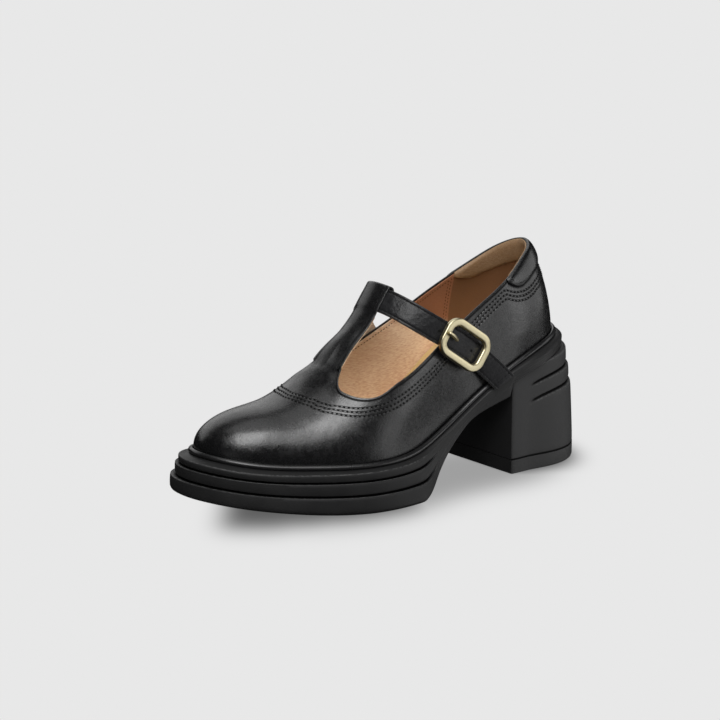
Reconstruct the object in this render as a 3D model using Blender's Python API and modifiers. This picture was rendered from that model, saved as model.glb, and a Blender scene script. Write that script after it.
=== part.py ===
"""Left block heel pump with a T-bar strap, modelled as the pieces that its maker puts together.

Tables are in millimetres and meshes in metres. A station runs from behind the heel towards the toe,
"across" is positive to the outer side of the foot, and heights are above the floor. The feather line
is where the upper meets the welt. In the shoe's own frame the toe points to -Y and the outer side to +X.
"""
import math

import bmesh
import bpy
import numpy as np
from mathutils import Matrix, Vector

# Driving dimensions, in millimetres
MM = 0.001
GAP = 0.3
HEEL_FEATHER_HEIGHT = 73.5
PLATFORM_HEIGHT = 25.6
TOE_SPRING = 15.5
TOE_SPRING_POWER = 1.8
UPPER_WALL = 1.6
BAR_FOLD_WALL = 1.0
SEAT_DEPTH = 2.4
INSOLE_THICKNESS = 3.0
INSOLE_EASE = 1.0
HEEL_TIP_HEIGHT = 8.0
STRAP_WIDTH = 13.8
STRAP_THICKNESS = 2.0
BUCKLE_LENGTH = 32.0
BUCKLE_WIDTH = 22.5
BUCKLE_BAR = 4.2
BUCKLE_THICKNESS = 3.0
BUCKLE_CORNER = 8.0
BUCKLE_STANDOFF = 0.5
PRONG_RADIUS = 1.1

# Where the forms change, as stations
HEEL_CENTRE = 35.0
BALL_CENTRE = 158.0
FAN_REACH = 45.0
FAN_BLEND = 12.0
BREAST = 62.2
BREAST_STEP = 2.0
TREAD_FRONT = 160.0
SOLE_TIP = 248.0

# Mesh fineness
DENSE_STEPS = 4000
RUN_STEPS = 240
HALVINGS = 40
SIDE_STEPS = 44
SHARP_ANGLE = 40.0
BAR_HALF_COLUMNS = 6

# The feather line in plan, once round the foot
FEATHER_LINE = (
    # name, station, across
    ("heel back", 9.0, 1.0),
    ("outer heel", 33.0, 28.5),
    ("outer waist", 92.0, 28.8),
    ("outer ball", 150.0, 33.6),
    ("outer toe", 200.0, 15.2),
    ("outer tip", 228.5, -4.6),
    ("toe tip", 235.0, -22.0),
    ("inner tip", 226.0, -38.4),
    ("inner toe", 208.0, -44.8),
    ("inner ball", 175.0, -45.8),
    ("inner waist", 105.0, -28.0),
    ("inner heel", 33.0, -26.5),
)

# The last: feather height on a flat tread, then the ridge over the foot
LAST_SECTIONS = (
    # station, feather height, ridge across, ridge rise, fullness
    (9.0, HEEL_FEATHER_HEIGHT, 1.0, 60.0, 1.65),
    (40.0, 70.5, 0.5, 63.0, 1.65),
    (75.0, 55.5, -1.0, 88.0, 1.75),
    (100.0, 40.5, -3.0, 92.0, 1.90),
    (115.0, 33.5, -4.5, 88.0, 1.95),
    (130.0, 28.2, -6.5, 79.0, 2.00),
    (150.0, PLATFORM_HEIGHT + 0.3, -7.5, 57.0, 2.10),
    (168.0, PLATFORM_HEIGHT, -9.0, 41.0, 2.15),
    (190.0, 24.8, -13.0, 31.0, 2.25),
    (215.0, 23.0, -18.0, 31.0, 2.35),
    (235.0, 22.3, -22.0, 29.0, 2.35),
)

# The underside of the waist, from the heel breast to the tread
ARCH = (
    # station, height
    (BREAST + BREAST_STEP, 45.0),
    (80.0, 40.2),
    (92.0, 35.0),
    (100.0, 28.8),
    (111.0, 18.0),
    (121.0, 5.5),
    (131.0, 0.0),
)

# The sole's side: each row's share of the side's height, and how far it stands out of the feather line
SOLE_SIDE = (
    # name, share, forefoot, waist, heel
    ("seat edge", 0.00, 0.0, 0.0, 0.0),
    ("ledge root", 0.01, 3.2, 2.8, 2.8),
    ("ledge edge", 0.04, 6.8, 3.9, 4.0),
    ("first tier crown", 0.09, 7.8, 4.5, 5.0),
    ("first tier foot", 0.22, 8.0, 4.7, 6.0),
    ("first groove", 0.25, 7.2, 4.7, 6.3),
    ("second tier crown", 0.30, 9.7, 4.7, 6.3),
    ("second tier foot", 0.53, 10.0, 4.6, 6.2),
    ("second groove", 0.565, 9.1, 4.5, 6.1),
    ("third tier crown", 0.62, 12.2, 4.4, 6.0),
    ("third tier foot", 0.93, 12.8, 4.1, 5.6),
    ("tread edge", 1.00, 11.0, 3.2, 4.6),
)
SOLE_BAND_AT_HEEL = 9.8
TIER_FADE = (114.0, 136.0)
HEEL_BAND_FADE = (40.0, 66.0)
OFFSET_AT_BALL = 0.74
OFFSET_GROWS = (165.0, 228.0)

# The welt's cross-section: out of the feather line, and below it
WELT_PROFILE = (
    # outward, depth
    (GAP, SEAT_DEPTH - GAP),
    (GAP, 0.1),
    (1.2, -0.3),
    (2.2, 0.2),
    (2.7, 1.3),
    (2.5, SEAT_DEPTH - GAP),
)

# The heel's side: rows below the feather line, then rows that level out towards the heel tip
HEEL_SIDE = (
    # name, depth below the feather line, levelling, outward at the back
    ("seat", SOLE_BAND_AT_HEEL + GAP, 0.0, 7.4),
    ("first tier crown", 11.0, 0.0, 8.4),
    ("first tier foot", 18.7, 0.0, 8.8),
    ("first groove", 19.7, 0.0, 7.9),
    ("second tier crown", 20.8, 0.0, 10.0),
    ("second tier foot", 28.2, 0.0, 10.4),
    ("second groove", 29.2, 0.0, 9.4),
    ("body crown", 30.4, 0.0, 11.2),
    ("body middle", 30.4, 0.45, 12.2),
    ("body foot", 30.4, 1.0, 13.2),
)
HEEL_FRONT_OFFSET = 2.8
HEEL_TIERS_FADE = (52.0, 20.0)
HEEL_CORNER = 1.0
HEEL_TIP_EDGE = 0.8

# The topline of the quarters
TOPLINE = (
    # name, station, height on the outer side, height on the inner side
    ("collar back", 24.0, 123.8, 123.8),
    ("collar side", 38.0, 118.8, 113.6),
    ("quarter rear", 55.0, 110.0, 103.2),
    ("quarter middle", 75.0, 99.3, 94.6),
    ("quarter front", 100.0, 84.6, 84.8),
    ("under the strap", 112.0, 77.6, 79.6),
    ("throat side", 134.0, 66.8, 68.6),
    ("throat low", 154.0, 60.4, 61.0),
)
QUARTER_END = 140.0

# The throat's round front, from the quarter to the corner of the T-bar
THROAT = (
    # name, station, share of the half width from the ridge
    ("side", 153.7, 0.805),
    ("low corner", 161.0, 0.720),
    ("front", 165.0, 0.600),
    ("front", 166.0, 0.500),
    ("bar fillet", 164.0, 0.395),
    ("bar corner", 160.0, 0.310),
)

# Rows of the upper's wall, measured down from the topline
WALL_BANDS = (0.0, 3.0, 8.0, 12.6, 14.0)
WALL_ROWS_BELOW = 8
WALL_ROWS_CROWD = 1.35
COLLAR_PAD = (0.5, 1.3, 1.3, 0.9, 0.0)
COLLAR_PAD_ENDS = (44.0, 54.0)

# The T-bar's centre line over the instep, up to where it runs straight
BAR_CENTRE = -7.0
BAR_HALF_WIDTH = 8.9
BAR_PATH = (
    # name, station, height
    ("over the throat", 150.5, 83.0),
    ("instep", 140.6, 91.6),
)
BAR_BASE_SAG = 1.5
BAR_BLEND = 0.45
BAR_ROWS = 8
BAR_FOLD_STEPS = 6
BAR_FOLD_ROWS = 4
BAR_THIN_ROWS = 6
BAR_THINNING = 3
BAR_TAIL = 14.6

# The plane of the strap, square to the T-bar's straight end, through the bar's outer face
STRAP_STATION = 130.0
STRAP_HEIGHT = 105.4
BAR_DIRECTION = (-0.6, 0.8)
BAR_NORMAL = (0.8, 0.6)
BAR_TOP_ABOVE_STRAP = 0.1
BAR_FOLD_REACH = 1.7
STRAP_DEPTH_IN_BAR = BAR_FOLD_WALL + GAP + STRAP_THICKNESS / 2

# The strap's centre line in that plane
STRAP_PATH = (
    # name, across, fall below the bar's face, drift along the bar
    ("inner end", -29.9, 48.0, -16.0),
    ("inner quarter", -29.4, 37.0, -15.0),
    ("inner topline", -28.4, 25.0, -10.5),
    ("inner shoulder", -24.4, 12.0, -3.4),
    ("bar inner edge", -19.0, STRAP_DEPTH_IN_BAR + 3.6, -0.4),
    ("under the bar", BAR_CENTRE, STRAP_DEPTH_IN_BAR, 0.0),
    ("bar outer edge", 2.5, STRAP_DEPTH_IN_BAR + 2.3, 0.0),
    ("outer shoulder", 16.0, 12.7, -0.8),
    ("outer topline", 25.5, 28.0, -1.0),
    ("buckle", 28.7, 45.5, 0.0),
    ("below the buckle", 31.1, 62.0, -1.2),
    ("over the welt", 34.6, 70.4, -2.9),
    ("free end", 37.6, 77.6, -4.8),
)
STRAP_STEPS = 48
STRAP_END_SLANT = 0.018
STRAP_SLANT_FROM = (0.86, 1.0)
BUCKLE_FALL = 44.2

# The buckle's bar in section, and its prong from over the front bar down to the strap
BUCKLE_EASE = 0.8
BUCKLE_CORNER_STEPS = 6
BUCKLE_PROFILE = (
    # inset from the outer edge, height
    (0.3, 0.0),
    (0.0, 0.6),
    (0.0, BUCKLE_THICKNESS - BUCKLE_EASE),
    (BUCKLE_EASE, BUCKLE_THICKNESS),
    (BUCKLE_BAR - BUCKLE_EASE, BUCKLE_THICKNESS),
    (BUCKLE_BAR, BUCKLE_THICKNESS - BUCKLE_EASE),
    (BUCKLE_BAR, 0.0),
)
FRONT_BAR = -(BUCKLE_LENGTH - BUCKLE_BAR) / 2
PRONG_OVER_BAR = BUCKLE_THICKNESS + PRONG_RADIUS + GAP
PRONG_PATH = (
    # along the strap, out of it
    (FRONT_BAR - 0.8, PRONG_OVER_BAR),
    (FRONT_BAR + 1.6, PRONG_OVER_BAR),
    (FRONT_BAR + 3.6, PRONG_OVER_BAR - 0.5),
    (FRONT_BAR + 6.4, PRONG_RADIUS + 1.0),
    (FRONT_BAR + 8.0, PRONG_RADIUS),
)


def smooth_step(low, high, value):
    """0 at low, 1 at high, with level ends; low may be the larger."""
    share = np.clip((np.asarray(value, float) - low) / (high - low), 0.0, 1.0)
    return share * share * (3.0 - 2.0 * share)


def spline(knots, values, at, period=None):
    """Cubic spline through the values at the knots, natural at its ends or closed over a period."""
    knots = np.asarray(knots, float)
    values = np.asarray(values, float)
    at = np.asarray(at, float)
    if period:
        knots = np.append(knots, knots[0] + period)
        values = np.concatenate([values, values[:1]])
        at = knots[0] + np.mod(at - knots[0], period)
    count = len(knots)
    span = np.diff(knots)
    slope = np.diff(values) / span
    system = np.eye(count)
    bend = np.zeros(count)
    for i in range(1, count - 1):
        system[i, i - 1:i + 2] = span[i - 1], 2 * (span[i - 1] + span[i]), span[i]
        bend[i] = 6 * (slope[i] - slope[i - 1])
    if period:
        system[0, -1] = -1
        system[-1, :2] = 2 * span[0], span[0]
        system[-1, -2:] = span[-1], 2 * span[-1]
        bend[-1] = 6 * (slope[0] - slope[-1])
    bend = np.linalg.solve(system, bend)
    i = np.clip(np.searchsorted(knots, at, side="right") - 1, 0, count - 2)
    past, ahead, width = at - knots[i], knots[i + 1] - at, span[i]
    return ((bend[i] * ahead**3 + bend[i + 1] * past**3) / (6 * width)
            + (values[i] / width - bend[i] * width / 6) * ahead
            + (values[i + 1] / width - bend[i + 1] * width / 6) * past)


def column(table, index):
    return np.array([row[index] for row in table], float)


def along_chords(points):
    """Distance along a run of points, from 0."""
    steps = np.linalg.norm(np.diff(points, axis=0), axis=1)
    return np.concatenate([[0.0], np.cumsum(steps)])


def resample(points, count):
    """The run of points again, as count points at equal distances."""
    along = along_chords(points)
    at = np.linspace(0.0, along[-1], count)
    return np.stack([np.interp(at, along, points[:, k]) for k in range(points.shape[1])], axis=1)


# The feather line, its two sides and the ring of paired points that every piece shares


def feather_sides():
    """The outer and the inner side of the feather line, each from the heel back to the toe tip."""
    points = np.stack([column(FEATHER_LINE, 2), column(FEATHER_LINE, 1)], axis=1)
    along = along_chords(np.vstack([points, points[:1]]))
    at = np.linspace(0.0, along[-1], DENSE_STEPS, endpoint=False)
    dense = np.stack([spline(along[:-1], points[:, k], at, period=along[-1]) for k in (0, 1)], axis=1)
    dense = np.roll(dense, -np.argmin(dense[:, 1]), axis=0)
    tip = np.argmax(dense[:, 1])
    outer = dense[:tip + 1]
    inner = np.vstack([dense[tip:], dense[:1]])[::-1]
    return outer, inner


OUTER_SIDE, INNER_SIDE = feather_sides()


def side_across(station, outer):
    side = OUTER_SIDE if outer else INNER_SIDE
    return np.interp(station, side[:, 1], side[:, 0])


def side_normals(station, outer):
    """Directions in plan that point out of one side of the feather line."""
    side = OUTER_SIDE if outer else INNER_SIDE
    tangent = np.gradient(side, axis=0)
    tangent /= np.linalg.norm(tangent, axis=1, keepdims=True) * (1 if outer else -1)
    return np.stack([np.interp(station, side[:, 1], tangent[:, 1]),
                     np.interp(station, side[:, 1], -tangent[:, 0])], axis=1)


def ring_stations():
    """Stations from heel back to toe tip, evenly spaced along the outer side, with the breast's two."""
    stations = resample(OUTER_SIDE, SIDE_STEPS + 1)[:, 1]
    nearest = np.argmin(np.abs(stations - BREAST))
    stations[nearest] = BREAST
    stations[nearest + 1] = BREAST + BREAST_STEP
    return stations


def round_the_foot(outer, inner):
    """One ring from the two sides' rows: up the outer side, round the toe, back down the inner side."""
    return np.vstack([outer, inner[-2:0:-1]])


STATIONS = ring_stations()
RING = round_the_foot(np.stack([side_across(STATIONS, True), STATIONS], axis=1),
                      np.stack([side_across(STATIONS, False), STATIONS], axis=1))
RING_NORMALS = round_the_foot(side_normals(STATIONS, True), side_normals(STATIONS, False))


# The last: heights of the feather line, the sole's underside and the foot's surface


def last_column(index, station):
    knots = column(LAST_SECTIONS, 0)
    at = np.clip(station, knots[0], knots[-1])
    return spline(knots, column(LAST_SECTIONS, index), at)


def toe_rise(station):
    share = (np.asarray(station, float) - TREAD_FRONT) / (SOLE_TIP - TREAD_FRONT)
    return TOE_SPRING * np.clip(share, 0.0, None) ** TOE_SPRING_POWER


def feather_height(station):
    return last_column(1, station) + toe_rise(station)


def underside_height(station):
    """Underside of the sole: heel seat, arch, tread and toe spring."""
    arch = spline(column(ARCH, 0), column(ARCH, 1), np.clip(station, ARCH[0][0], ARCH[-1][0]))
    seat = feather_height(station) - SOLE_BAND_AT_HEEL
    ground = np.clip(arch, 0.0, None) + toe_rise(station)
    return np.where(np.asarray(station) <= BREAST, seat, ground)


def fan_share(across, station, centre):
    """Share of the way out from a pole on the ridge to the feather line, along a ray from the pole."""
    pole = np.array([last_column(2, centre), centre])
    full = np.vstack([OUTER_SIDE, INNER_SIDE[-2:0:-1]])
    toeward = 1.0 if centre == BALL_CENTRE else -1.0
    near = full[toeward * (full[:, 1] - centre) > -FAN_REACH]
    angle = np.arctan2(near[:, 0] - pole[0], toeward * (near[:, 1] - pole[1]))
    order = np.argsort(angle)
    reach = np.linalg.norm(near - pole, axis=1)
    here = np.arctan2(across - pole[0], toeward * (station - pole[1]))
    return np.hypot(across - pole[0], station - pole[1]) / np.interp(here, angle[order], reach[order])


def ridge_share(across, station):
    """0 on the ridge line and 1 on the feather line."""
    ridge = last_column(2, station)
    edge = np.where(across >= ridge, side_across(station, True), side_across(station, False))
    straight = np.abs(across - ridge) / np.maximum(np.abs(edge - ridge), 1e-6)
    toe = fan_share(across, station, BALL_CENTRE)
    heel = fan_share(across, station, HEEL_CENTRE)
    toe_weight = smooth_step(BALL_CENTRE - FAN_BLEND, BALL_CENTRE + FAN_BLEND, station)
    heel_weight = smooth_step(HEEL_CENTRE + FAN_BLEND, HEEL_CENTRE - FAN_BLEND, station)
    share = straight * (1 - toe_weight - heel_weight) + toe * toe_weight + heel * heel_weight
    return np.clip(share, 0.0, 1.0)


def last_height(across, station):
    """Height of the last's surface over a point in plan."""
    across = np.asarray(across, float)
    station = np.asarray(station, float)
    fullness = last_column(4, np.clip(station, HEEL_CENTRE, BALL_CENTRE))
    lift = (1.0 - ridge_share(across, station) ** fullness) ** (1.0 / fullness)
    return feather_height(station) + last_column(3, station) * lift


# The shared frame: the origin is under the middle of the sole's outline


def sole_scale(station):
    """The forefoot tiers stand out further at the toe than at the ball."""
    return OFFSET_AT_BALL + (1 - OFFSET_AT_BALL) * smooth_step(*OFFSET_GROWS, station)


def sole_offsets(row, station):
    forefoot = smooth_step(*TIER_FADE, station)
    heel = 1 - smooth_step(*HEEL_BAND_FADE, station)
    return (row[2] * sole_scale(station) * forefoot
            + row[4] * heel + row[3] * (1 - forefoot - heel))


def heel_offsets(outward, station):
    back = smooth_step(*HEEL_TIERS_FADE, station)
    return HEEL_FRONT_OFFSET + (outward - HEEL_FRONT_OFFSET) * back


def outline_middle():
    """Middle of the shoe's box in plan."""
    reach = np.maximum.reduce([sole_offsets(row, RING[:, 1]) for row in SOLE_SIDE])
    heel_reach = np.where(RING[:, 1] < BREAST, heel_offsets(HEEL_SIDE[-1][3], RING[:, 1]), 0.0)
    outline = RING + RING_NORMALS * np.maximum(reach, heel_reach)[:, None]
    return (outline.min(axis=0) + outline.max(axis=0)) / 2


MIDDLE_ACROSS, MIDDLE_STATION = outline_middle()


def to_frame(points):
    """Rows of (across, station, height) in millimetres as (x, y, z) in metres in the shoe's frame."""
    points = np.asarray(points, float)
    x = points[..., 0] - MIDDLE_ACROSS
    y = MIDDLE_STATION - points[..., 1]
    return np.stack([x, y, points[..., 2]], axis=-1) * MM


# Meshes from rows of points


def add_rows(bm, rows):
    return [[bm.verts.new(point) for point in row] for row in rows]


def bridge(bm, rows, closed):
    """Faces between neighbouring rows; a closed row runs round to its first point."""
    for lower, upper in zip(rows, rows[1:]):
        count = len(lower)
        for i in range(count if closed else count - 1):
            j = (i + 1) % count
            bm.faces.new((lower[i], lower[j], upper[j], upper[i]))


def ladder(bm, ring):
    """Closes a ring with rungs from its outer to its inner side; the front may be a point or an edge."""
    half = len(ring) // 2
    outer = ring[:half + 1]
    inner = [ring[0]] + ring[:len(ring) - half - 1:-1]
    for k in range(half):
        bm.faces.new(dict.fromkeys((outer[k], inner[k], inner[k + 1], outer[k + 1])))


def finish(name, bm, material, collection):
    bm.normal_update()
    mesh = bpy.data.meshes.new(name)
    bm.to_mesh(mesh)
    bm.free()
    mesh.shade_smooth()
    mesh.set_sharp_from_angle(angle=math.radians(SHARP_ANGLE))
    mesh.materials.append(material)
    piece = bpy.data.objects.new(name, mesh)
    collection.objects.link(piece)
    return piece


def ring_solid(name, rows, material, collection):
    """Solid from rings round the foot, closed by a ladder at each end."""
    bm = bmesh.new()
    verts = add_rows(bm, [to_frame(row) for row in rows])
    bridge(bm, verts, closed=True)
    ladder(bm, verts[0])
    ladder(bm, verts[-1])
    bmesh.ops.recalc_face_normals(bm, faces=bm.faces)
    return finish(name, bm, material, collection)


def raised(plan, height):
    return np.column_stack([plan, np.broadcast_to(height, len(plan))])


# Sole, welt, insole and heel


def make_outsole(material, collection):
    station = RING[:, 1]
    top = feather_height(station) - SEAT_DEPTH
    bottom = underside_height(station)
    rows = []
    for row in SOLE_SIDE:
        plan = RING + RING_NORMALS * sole_offsets(row, station)[:, None]
        rows.append(raised(plan, top + (bottom - top) * row[1]))
    return ring_solid("outsole", rows, material, collection)


def make_welt(material, collection):
    station = RING[:, 1]
    rows = []
    for outward, depth in WELT_PROFILE:
        plan = RING + RING_NORMALS * outward
        rows.append(to_frame(raised(plan, feather_height(station) - depth)))
    bm = bmesh.new()
    verts = add_rows(bm, rows)
    bridge(bm, verts + verts[:1], closed=True)
    bmesh.ops.recalc_face_normals(bm, faces=bm.faces)
    return finish("welt", bm, material, collection)


def make_insole(material, collection):
    foot = feather_height(RING[:, 1]) - SEAT_DEPTH + GAP
    plan = RING - RING_NORMALS * (UPPER_WALL + GAP)
    eased = plan - RING_NORMALS * INSOLE_EASE
    rows = [raised(eased, foot + INSOLE_THICKNESS),
            raised(plan, foot + INSOLE_THICKNESS - INSOLE_EASE),
            raised(plan, foot)]
    return ring_solid("insole", rows, material, collection)


def heel_ring(outward):
    """The heel's outline in plan: round the back, straight across the breast, with eased corners."""
    breast = BREAST - GAP
    stations = np.append(STATIONS[STATIONS < breast - HEEL_CORNER - 1], breast - HEEL_CORNER)
    offsets = heel_offsets(outward, stations)[:, None]
    sides = []
    for outer, inwards in ((True, -HEEL_CORNER), (False, HEEL_CORNER)):
        side = np.stack([side_across(stations, outer), stations], axis=1)
        side = side + side_normals(stations, outer) * offsets
        sides.append(np.vstack([side, (side[-1, 0] + inwards, breast)]))
    return np.vstack([sides[0], sides[1][:0:-1]])


def make_heel(material, collection):
    rows = []
    for name, depth, levelling, outward in HEEL_SIDE:
        plan = heel_ring(outward)
        height = feather_height(plan[:, 1].clip(FEATHER_LINE[0][1])) - depth
        rows.append(raised(plan, height + (HEEL_TIP_HEIGHT + GAP - height) * levelling))
    return ring_solid("heel", rows, material, collection)


def make_heel_tip(material, collection):
    foot = HEEL_SIDE[-1][3]
    rows = [raised(heel_ring(foot), HEEL_TIP_HEIGHT),
            raised(heel_ring(foot), HEEL_TIP_EDGE),
            raised(heel_ring(foot - HEEL_TIP_EDGE), 0.0)]
    return ring_solid("heel_tip", rows, material, collection)


# Strap: its path in the plane that is square to the T-bar


def strap_curve(share):
    """Across, fall and drift of the strap's centre line, from its inner end (0) to its free end (1)."""
    points = np.stack([column(STRAP_PATH, k) for k in (1, 2, 3)], axis=1)
    along = along_chords(points)
    return np.stack([spline(along, points[:, k], share * along[-1]) for k in range(3)], axis=1)


def strap_point(across, fall, along_bar):
    """A point of the strap's plane, moved along the bar, as (across, station, height)."""
    station = STRAP_STATION - BAR_NORMAL[0] * fall + BAR_DIRECTION[0] * along_bar
    height = STRAP_HEIGHT - BAR_NORMAL[1] * fall + BAR_DIRECTION[1] * along_bar
    return np.stack(np.broadcast_arrays(across, station, height), axis=-1)


def bar_crown(across):
    """How far the strap, and the bar over it, fall away from the bar's middle."""
    curve = strap_curve(np.linspace(0.0, 1.0, RUN_STEPS))
    return np.interp(across, curve[:, 0], curve[:, 1]) - STRAP_DEPTH_IN_BAR


def make_strap(material, collection):
    share = np.linspace(0.0, 1.0, STRAP_STEPS + 1)
    slant = STRAP_END_SLANT * smooth_step(*STRAP_SLANT_FROM, share)
    rows = []
    for face, side in ((1, -1), (1, 1), (-1, 1), (-1, -1)):
        curve = strap_curve(share + side * slant)
        along = np.gradient(curve[:, :2], axis=0)
        out = np.stack([along[:, 1], -along[:, 0]], axis=1)
        out /= np.linalg.norm(out, axis=1, keepdims=True)
        skin = curve[:, :2] + out * face * STRAP_THICKNESS / 2
        rows.append(strap_point(skin[:, 0], skin[:, 1], curve[:, 2] + side * STRAP_WIDTH / 2))
    bm = bmesh.new()
    verts = add_rows(bm, [to_frame(row) for row in rows])
    bridge(bm, verts + verts[:1], closed=False)
    bm.faces.new([row[0] for row in verts])
    bm.faces.new([row[-1] for row in verts[::-1]])
    bmesh.ops.recalc_face_normals(bm, faces=bm.faces)
    return finish("strap", bm, material, collection)


# Upper: vamp and quarters in one wall, with the T-bar folded round the strap


def topline_height(station, outer):
    knots = column(TOPLINE, 1)
    heights = column(TOPLINE, 2 if outer else 3)
    return spline(knots, heights, np.clip(station, knots[0], knots[-1]))


def topline_point(foot, outer):
    """Where the wall that rises from a feather point meets the topline, by halving."""
    spine_station = np.clip(foot[1], HEEL_CENTRE, BALL_CENTRE)
    spine = np.array([last_column(2, spine_station), spine_station])
    low, high = 0.0, 1.0
    for _ in range(HALVINGS):
        share = (low + high) / 2
        point = foot + (spine - foot) * share
        if last_height(*point) < topline_height(point[1], outer):
            low = share
        else:
            high = share
    return point


def throat_run(start, outer):
    """The topline from the quarter's end round the throat to the T-bar's corner, as a dense run."""
    points = [start]
    for _, station, share in THROAT:
        ridge = last_column(2, station)
        points.append((ridge + share * (side_across(station, outer) - ridge), station))
    points = np.array(points)
    along = along_chords(points)
    at = np.linspace(0.0, along[-1], RUN_STEPS)
    return np.stack([spline(along, points[:, k], at) for k in (0, 1)], axis=1)


def topline_ring():
    """The wall's inner edge in plan, a point for each point of the feather ring."""
    half = SIDE_STEPS
    quarter = int(np.searchsorted(STATIONS, QUARTER_END))
    corner = half - BAR_HALF_COLUMNS
    middle = np.array([BAR_CENTRE, THROAT[-1][1] + BAR_BASE_SAG])
    sides = []
    for outer in (True, False):
        feet = np.stack([side_across(STATIONS, outer), STATIONS], axis=1)
        side = np.array([topline_point(foot, outer) for foot in feet[:quarter]])
        throat = resample(throat_run(side[-1], outer), corner - quarter + 2)[1:]
        base = np.linspace(throat[-1], middle, BAR_HALF_COLUMNS + 1)[1:]
        sides.append(np.vstack([side, throat, base]))
    return np.vstack([sides[0], sides[1][-2:0:-1]])


def wall_rows():
    """Rows of the upper's outer face, from the topline down to the seat."""
    edge = topline_ring()
    dense_share = np.linspace(0.0, 1.0, RUN_STEPS) ** 2
    columns = []
    for foot, normal, top in zip(RING, RING_NORMALS, edge):
        plan = foot + (top - foot) * dense_share[:, None]
        points = np.column_stack([plan, last_height(plan[:, 0], plan[:, 1])])[::-1]
        along = along_chords(points)
        below = 1 - (1 - np.linspace(0.0, 1.0, WALL_ROWS_BELOW + 1)[1:]) ** WALL_ROWS_CROWD
        below = WALL_BANDS[-1] + (along[-1] - WALL_BANDS[-1]) * below
        at = np.concatenate([WALL_BANDS, below])
        run = np.stack([np.interp(at, along, points[:, k]) for k in range(3)], axis=1)
        pad = smooth_step(*COLLAR_PAD_ENDS[::-1], run[0, 1])
        run[:len(COLLAR_PAD), :2] += normal * (np.array(COLLAR_PAD) * pad)[:, None]
        seat = [foot[0], foot[1], feather_height(foot[1]) - SEAT_DEPTH + GAP]
        columns.append(np.vstack([run, seat]))
    return np.swapaxes(np.array(columns), 0, 1)


def bar_rows(base):
    """Rows of the T-bar from its base on the vamp, up the instep and folded back behind the strap."""
    mid = len(base) // 2
    spread = np.linspace(1.0, -1.0, len(base))
    across = BAR_CENTRE + spread * BAR_HALF_WIDTH
    crown = bar_crown(across)
    top_along = STRAP_WIDTH / 2 + BAR_TOP_ABOVE_STRAP
    straight_foot = strap_point(BAR_CENTRE, 0.0, -STRAP_WIDTH / 2)
    straight_top = strap_point(BAR_CENTRE, 0.0, top_along)
    path = [base[mid, 1:]] + [row[1:] for row in BAR_PATH]
    path = np.array(path + [straight_foot[1:], straight_top[1:]])
    along = along_chords(path)
    at = np.linspace(0.0, along[-1], BAR_ROWS + 1)[1:]
    centre = np.stack([spline(along, path[:, k], at) for k in (0, 1)], axis=1)
    slope = np.gradient(np.vstack([path[:1], centre]), axis=0)[1:]
    slope /= np.linalg.norm(slope, axis=1, keepdims=True)
    rows = []
    for point, (run, rise), share in zip(centre, slope, at / along[-1]):
        blend = smooth_step(0.0, BAR_BLEND, share)
        wide = base[:, 0] + (across - base[:, 0]) * blend
        vamp_fall = base[mid, 2] - base[:, 2]
        fall = vamp_fall + (crown - vamp_fall) * blend
        rows.append(np.column_stack([wide, point[0] - rise * fall, point[1] + run * fall]))
    radius = STRAP_DEPTH_IN_BAR
    for step in range(1, BAR_FOLD_STEPS + 1):
        turn = math.pi * step / BAR_FOLD_STEPS
        fall = crown + radius * (1 - math.cos(turn))
        rows.append(strap_point(across, fall, top_along + BAR_FOLD_REACH * math.sin(turn)))
    for step in range(1, BAR_FOLD_ROWS + 1):
        rows.append(strap_point(across, crown + 2 * radius, top_along - BAR_TAIL * step / BAR_FOLD_ROWS))
    return rows


def make_upper(material, collection):
    wall = wall_rows()
    corner = SIDE_STEPS - BAR_HALF_COLUMNS
    base = wall[0, corner:corner + 2 * BAR_HALF_COLUMNS + 1]
    bm = bmesh.new()
    verts = add_rows(bm, [to_frame(row) for row in wall])
    bridge(bm, verts, closed=True)
    bar = [verts[0][corner:corner + len(base)]]
    bar += add_rows(bm, [to_frame(row) for row in bar_rows(base)])
    bridge(bm, bar[::-1], closed=False)
    thin_from = len(bar) - BAR_FOLD_STEPS - BAR_FOLD_ROWS - BAR_THIN_ROWS
    bm.verts.index_update()
    thin = [[vert.index for vert in row] for row in bar[thin_from:]]
    everything = range(len(bm.verts))
    piece = finish("upper", bm, material, collection)
    wall_share = piece.vertex_groups.new(name="wall share")
    wall_share.add(list(everything), 1.0, "REPLACE")
    for step, row in enumerate(thin):
        share = 1 + (BAR_FOLD_WALL / UPPER_WALL - 1) * min(1.0, (step + 1) / BAR_THINNING)
        wall_share.add(row, share, "REPLACE")
    shell = piece.modifiers.new("wall", "SOLIDIFY")
    shell.thickness = UPPER_WALL * MM
    shell.vertex_group = wall_share.name
    shell.offset = -1.0
    shell.use_even_offset = True
    shell.use_quality_normals = True
    return piece


# Buckle


def buckle_axes():
    """Place of the buckle's frame: on the strap, along it, across it and out of it."""
    curve = strap_curve(np.linspace(0.5, 1.0, DENSE_STEPS))
    falls = BUCKLE_FALL + np.array([-1, 0, 1]) * BUCKLE_LENGTH / 2
    middle_line = [np.interp(falls, curve[:, 1], curve[:, k]) for k in range(3)]
    behind, middle, ahead = to_frame(strap_point(middle_line[0], falls, middle_line[2]))
    along = Vector(ahead - behind).normalized()
    across = Vector((0.0, -BAR_DIRECTION[0], BAR_DIRECTION[1]))
    out = across.cross(along).normalized()
    if out.x < 0:
        out.negate()
    across = out.cross(along)
    rise = (STRAP_THICKNESS / 2 + BUCKLE_STANDOFF) * MM
    place = Matrix((along, across, out)).transposed().to_4x4()
    place.translation = Vector(middle) + out * rise
    return place


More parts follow.
